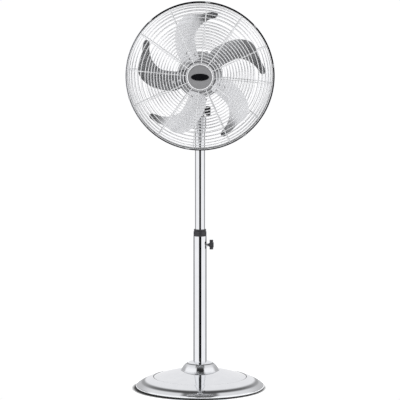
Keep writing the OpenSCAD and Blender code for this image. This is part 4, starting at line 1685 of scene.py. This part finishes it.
@dataclass
class Studio:
    """The surroundings: a pale floor, soft lights, the tones seen in the chrome and the camera.

    Each of the rows is the slope where it starts, the slope where it ends and its stops, each a
    turn from the camera's side and a tone. Within white_to of the camera's axis the world is white,
    and from white_from outwards it has the rows' tones. All angles are degrees. The shade is the
    dark ring's shift along x, where it starts to fade and where it is gone, in metres.
    """

    camera_at: tuple[float, float, float] = (0.0, -7.0434, 1.3711)
    pitch_down: float = 6.359
    lens: float = 207.17
    sight: tuple[float, float, float] = (0.0, 0.984, -0.178)
    axis: tuple[float, float, float] = (0.0, 0.99385, -0.11076)
    white_from: float = 8.2
    white_to: float = 7.2
    floor_r: float = 0.46
    shade: tuple[float, float, float] = (0.004, 0.196, 0.215)
    rows: tuple[tuple[float, float, tuple[tuple[float, float], ...]], ...] = (
        (0, 26, ((0, 0.87),)),
        (
            30.5, 32.5,
            (
                (-110, 0.5), (-75, 0.35), (-40, 0.14), (-18, 0.08),
                (18, 0.08), (40, 0.14), (75, 0.35), (110, 0.5)
            )
        ),
        (
            36, 40,
            ((-75, 0.55), (-46, 0.8), (-20, 0.8), (-14, 0.2), (14, 0.2), (20, 0.8), (40, 0.8), (75, 0.55))
        ),
        (
            58, 64,
            ((-60, 0.5), (-48, 1.0), (-14, 1.0), (-9, 0.03), (11, 0.03), (16, 1.0), (45, 1.0), (60, 0.5))
        ),
        (
            72, 80,
            (
                (-87, 1.0), (-82, 0.35), (-57, 0.4), (-50, 1.0), (-5, 1.0), (-2.5, 0.05),
                (9, 0.05), (13, 1.0), (50, 1.0), (57, 0.4), (82, 0.35), (87, 1.0)
            )
        ),
        (
            84, 93,
            (
                (-87, 1.0), (-82, 0.26), (-57, 0.30), (-50, 1.0), (-11, 1.0), (-7.5, 0.0),
                (10, 0.0), (14, 1.0), (50, 1.0), (57, 0.30), (82, 0.26), (87, 1.0)
            )
        ),
        (
            97, 114,
            ((-60, 0.3), (-35, 0.3), (-28, 1.0), (-5, 1.0), (-2, 0.08), (14, 0.08), (20, 0.8), (60, 0.6))
        ),
        (125, 180, ((0, 0.45),)),
    )

    def build_floor(self) -> None:
        """Builds the pale floor under the fan, darker where the base's edge shades it."""
        a = circle_angles(128)
        mesh = bpy.data.meshes.new("floor")
        ring = np.c_[self.floor_r * np.cos(a), self.floor_r * np.sin(a), np.full(128, -0.0002)]
        mesh.from_pydata(ring.tolist(), [], [tuple(range(128))])
        piece = bpy.data.objects.new("floor", mesh)
        bpy.context.scene.collection.objects.link(piece)
        made = bpy.data.materials.new("floor_paper")
        made.use_nodes = True
        graph = Graph(made.node_tree)
        shader = made.node_tree.nodes["Principled BSDF"]
        x, y, _ = graph.split(graph.coords())
        shift, dark_to, pale_from = self.shade
        open_floor = graph.ramp(graph.distance(graph.math("ADD", x, shift), y), dark_to, pale_from)
        tone = graph.math("MULTIPLY", open_floor, graph.ramp(graph.noise(3.0, 3.0), 0.0, 1.0, 0.97, 1.0))
        graph.feed(shader.inputs["Base Color"], graph.tint(tone, (0.06, 0.06, 0.06), (0.96, 0.96, 0.96)))
        shader.inputs["Roughness"].default_value = 0.9
        graph.feed(shader.inputs["Emission Color"], graph.tint(open_floor, (0, 0, 0), (1, 1, 1)))
        shader.inputs["Emission Strength"].default_value = 0.35
        mesh.materials.append(made)

    def build_world(self) -> None:
        """Builds the surroundings seen in the chrome.

        Seen from the camera's side, a polished surface whose normal is n shows the direction
        v - 2 (v . n) n, so n is the unit vector along direction - v. The tones are laid out by that
        normal: rows by its slope from the vertical, and stops by its turn from the camera's side.
        The part behind the fan, as the camera sees it, is plain white.
        """
        world = bpy.data.worlds.new("studio_world")
        bpy.context.scene.world = world
        world.use_nodes = True
        graph = Graph(world.node_tree)
        world.node_tree.nodes.clear()
        direction = graph.node("ShaderNodeTexCoord").outputs["Generated"]
        across, facing, behind = (
            graph.node("ShaderNodeVectorMath", operation=kind)
            for kind in ("SUBTRACT", "NORMALIZE", "DOT_PRODUCT")
        )
        graph.feed(across.inputs[0], direction)
        across.inputs[1].default_value = self.sight
        graph.feed(facing.inputs[0], across.outputs[0])
        graph.feed(behind.inputs[0], direction)
        behind.inputs[1].default_value = self.axis
        x, y, z = graph.split(facing.outputs[0])
        turn = graph.math(
            "MULTIPLY", graph.math("ARCTAN2", x, graph.math("MULTIPLY", y, -1.0)), 180 / math.pi
        )
        slope = graph.math("MULTIPLY", graph.math("ARCCOSINE", z), 180 / math.pi)
        tone: object = self.rows[0][2][0][1]
        for (_, end, _), (start, _, points) in zip(self.rows, self.rows[1:], strict=False):
            tone = self.blend(graph, graph.ramp(slope, end, start), tone, self.stops(graph, turn, points))
        start, end = (math.cos(math.radians(angle)) for angle in (self.white_from, self.white_to))
        tone = self.blend(graph, graph.ramp(behind.outputs["Value"], start, end), tone, 1.0)
        back = graph.node("ShaderNodeBackground")
        graph.feed(back.inputs["Color"], graph.tint(tone, (0, 0, 0), (0.985, 0.985, 1.0)))
        back.inputs["Strength"].default_value = 1.03
        out = graph.node("ShaderNodeOutputWorld")
        graph.feed(out.inputs["Surface"], back.outputs[0])

    @staticmethod
    def stops(graph: Graph, value: object, points: list[tuple[float, float]]) -> bpy.types.NodeSocket:
        """A tone that passes smoothly through a list of (input, tone) stops.

        Args:
            graph: Tree to build in.
            value: Input socket.
            points: Stops in rising order of input.

        Returns:
            The tone.
        """
        total: object = points[0][1]
        for (a, tone_a), (b, tone_b) in zip(points, points[1:], strict=False):
            if tone_a != tone_b:
                total = graph.math("ADD", total, graph.ramp(value, a, b, 0.0, tone_b - tone_a))
        return total

    @staticmethod
    def blend(graph: Graph, factor: object, low: object, high: object) -> bpy.types.NodeSocket:
        """Low where the factor is 0 and high where it is 1.

        Args:
            graph: Tree to build in.
            factor: Share of the second tone.
            low: First tone.
            high: Second tone.

        Returns:
            The tone.
        """
        mix = graph.node("ShaderNodeMix", data_type="FLOAT")
        for at, value in ((0, factor), (2, low), (3, high)):
            graph.feed(mix.inputs[at], value)
        return mix.outputs[0]

    def build_lights(self) -> None:
        """Adds two soft lights that lift the mat surfaces."""
        for name, at, size, power in (
            ("key_light", (-1.6, -2.2, 2.6), 1.6, 55.0), ("fill_light", (1.9, -1.6, 2.2), 1.6, 35.0)
        ):
            data = bpy.data.lights.new(name, "AREA")
            data.size = size
            data.energy = power
            light = bpy.data.objects.new(name, data)
            light.location = at
            aim = np.array([0, 0, 0.7]) - np.array(at)
            light.rotation_euler = (
                math.atan2(math.hypot(aim[0], aim[1]), -aim[2]), 0, math.atan2(aim[1], aim[0]) - math.pi / 2
            )
            light.visible_glossy = False
            bpy.context.scene.collection.objects.link(light)

    def build_camera(self) -> None:
        """Adds the camera."""
        data = bpy.data.cameras.new("camera")
        data.lens = self.lens
        data.sensor_width = 36.0
        data.dof.use_dof = False
        camera = bpy.data.objects.new("camera", data)
        camera.location = self.camera_at
        camera.rotation_euler = (math.radians(90 - self.pitch_down), 0, 0)
        bpy.context.scene.collection.objects.link(camera)
        bpy.context.scene.camera = camera

    def build(self) -> None:
        """Builds the whole studio."""
        self.build_world()
        self.build_floor()
        self.build_lights()
        self.build_camera()
        bpy.context.scene.view_settings.view_transform = "Standard"


def main() -> None:
    """Builds the fan and its studio."""
    logging.basicConfig(level=logging.INFO, format="%(name)s %(message)s")
    dress_kept_nodes()
    for group in (Base(), Pole(), Neck(), Motor(), Guard(), Badge(), Rotor()):
        group.build()
    Studio().build()


if __name__ == "__main__":
    main()
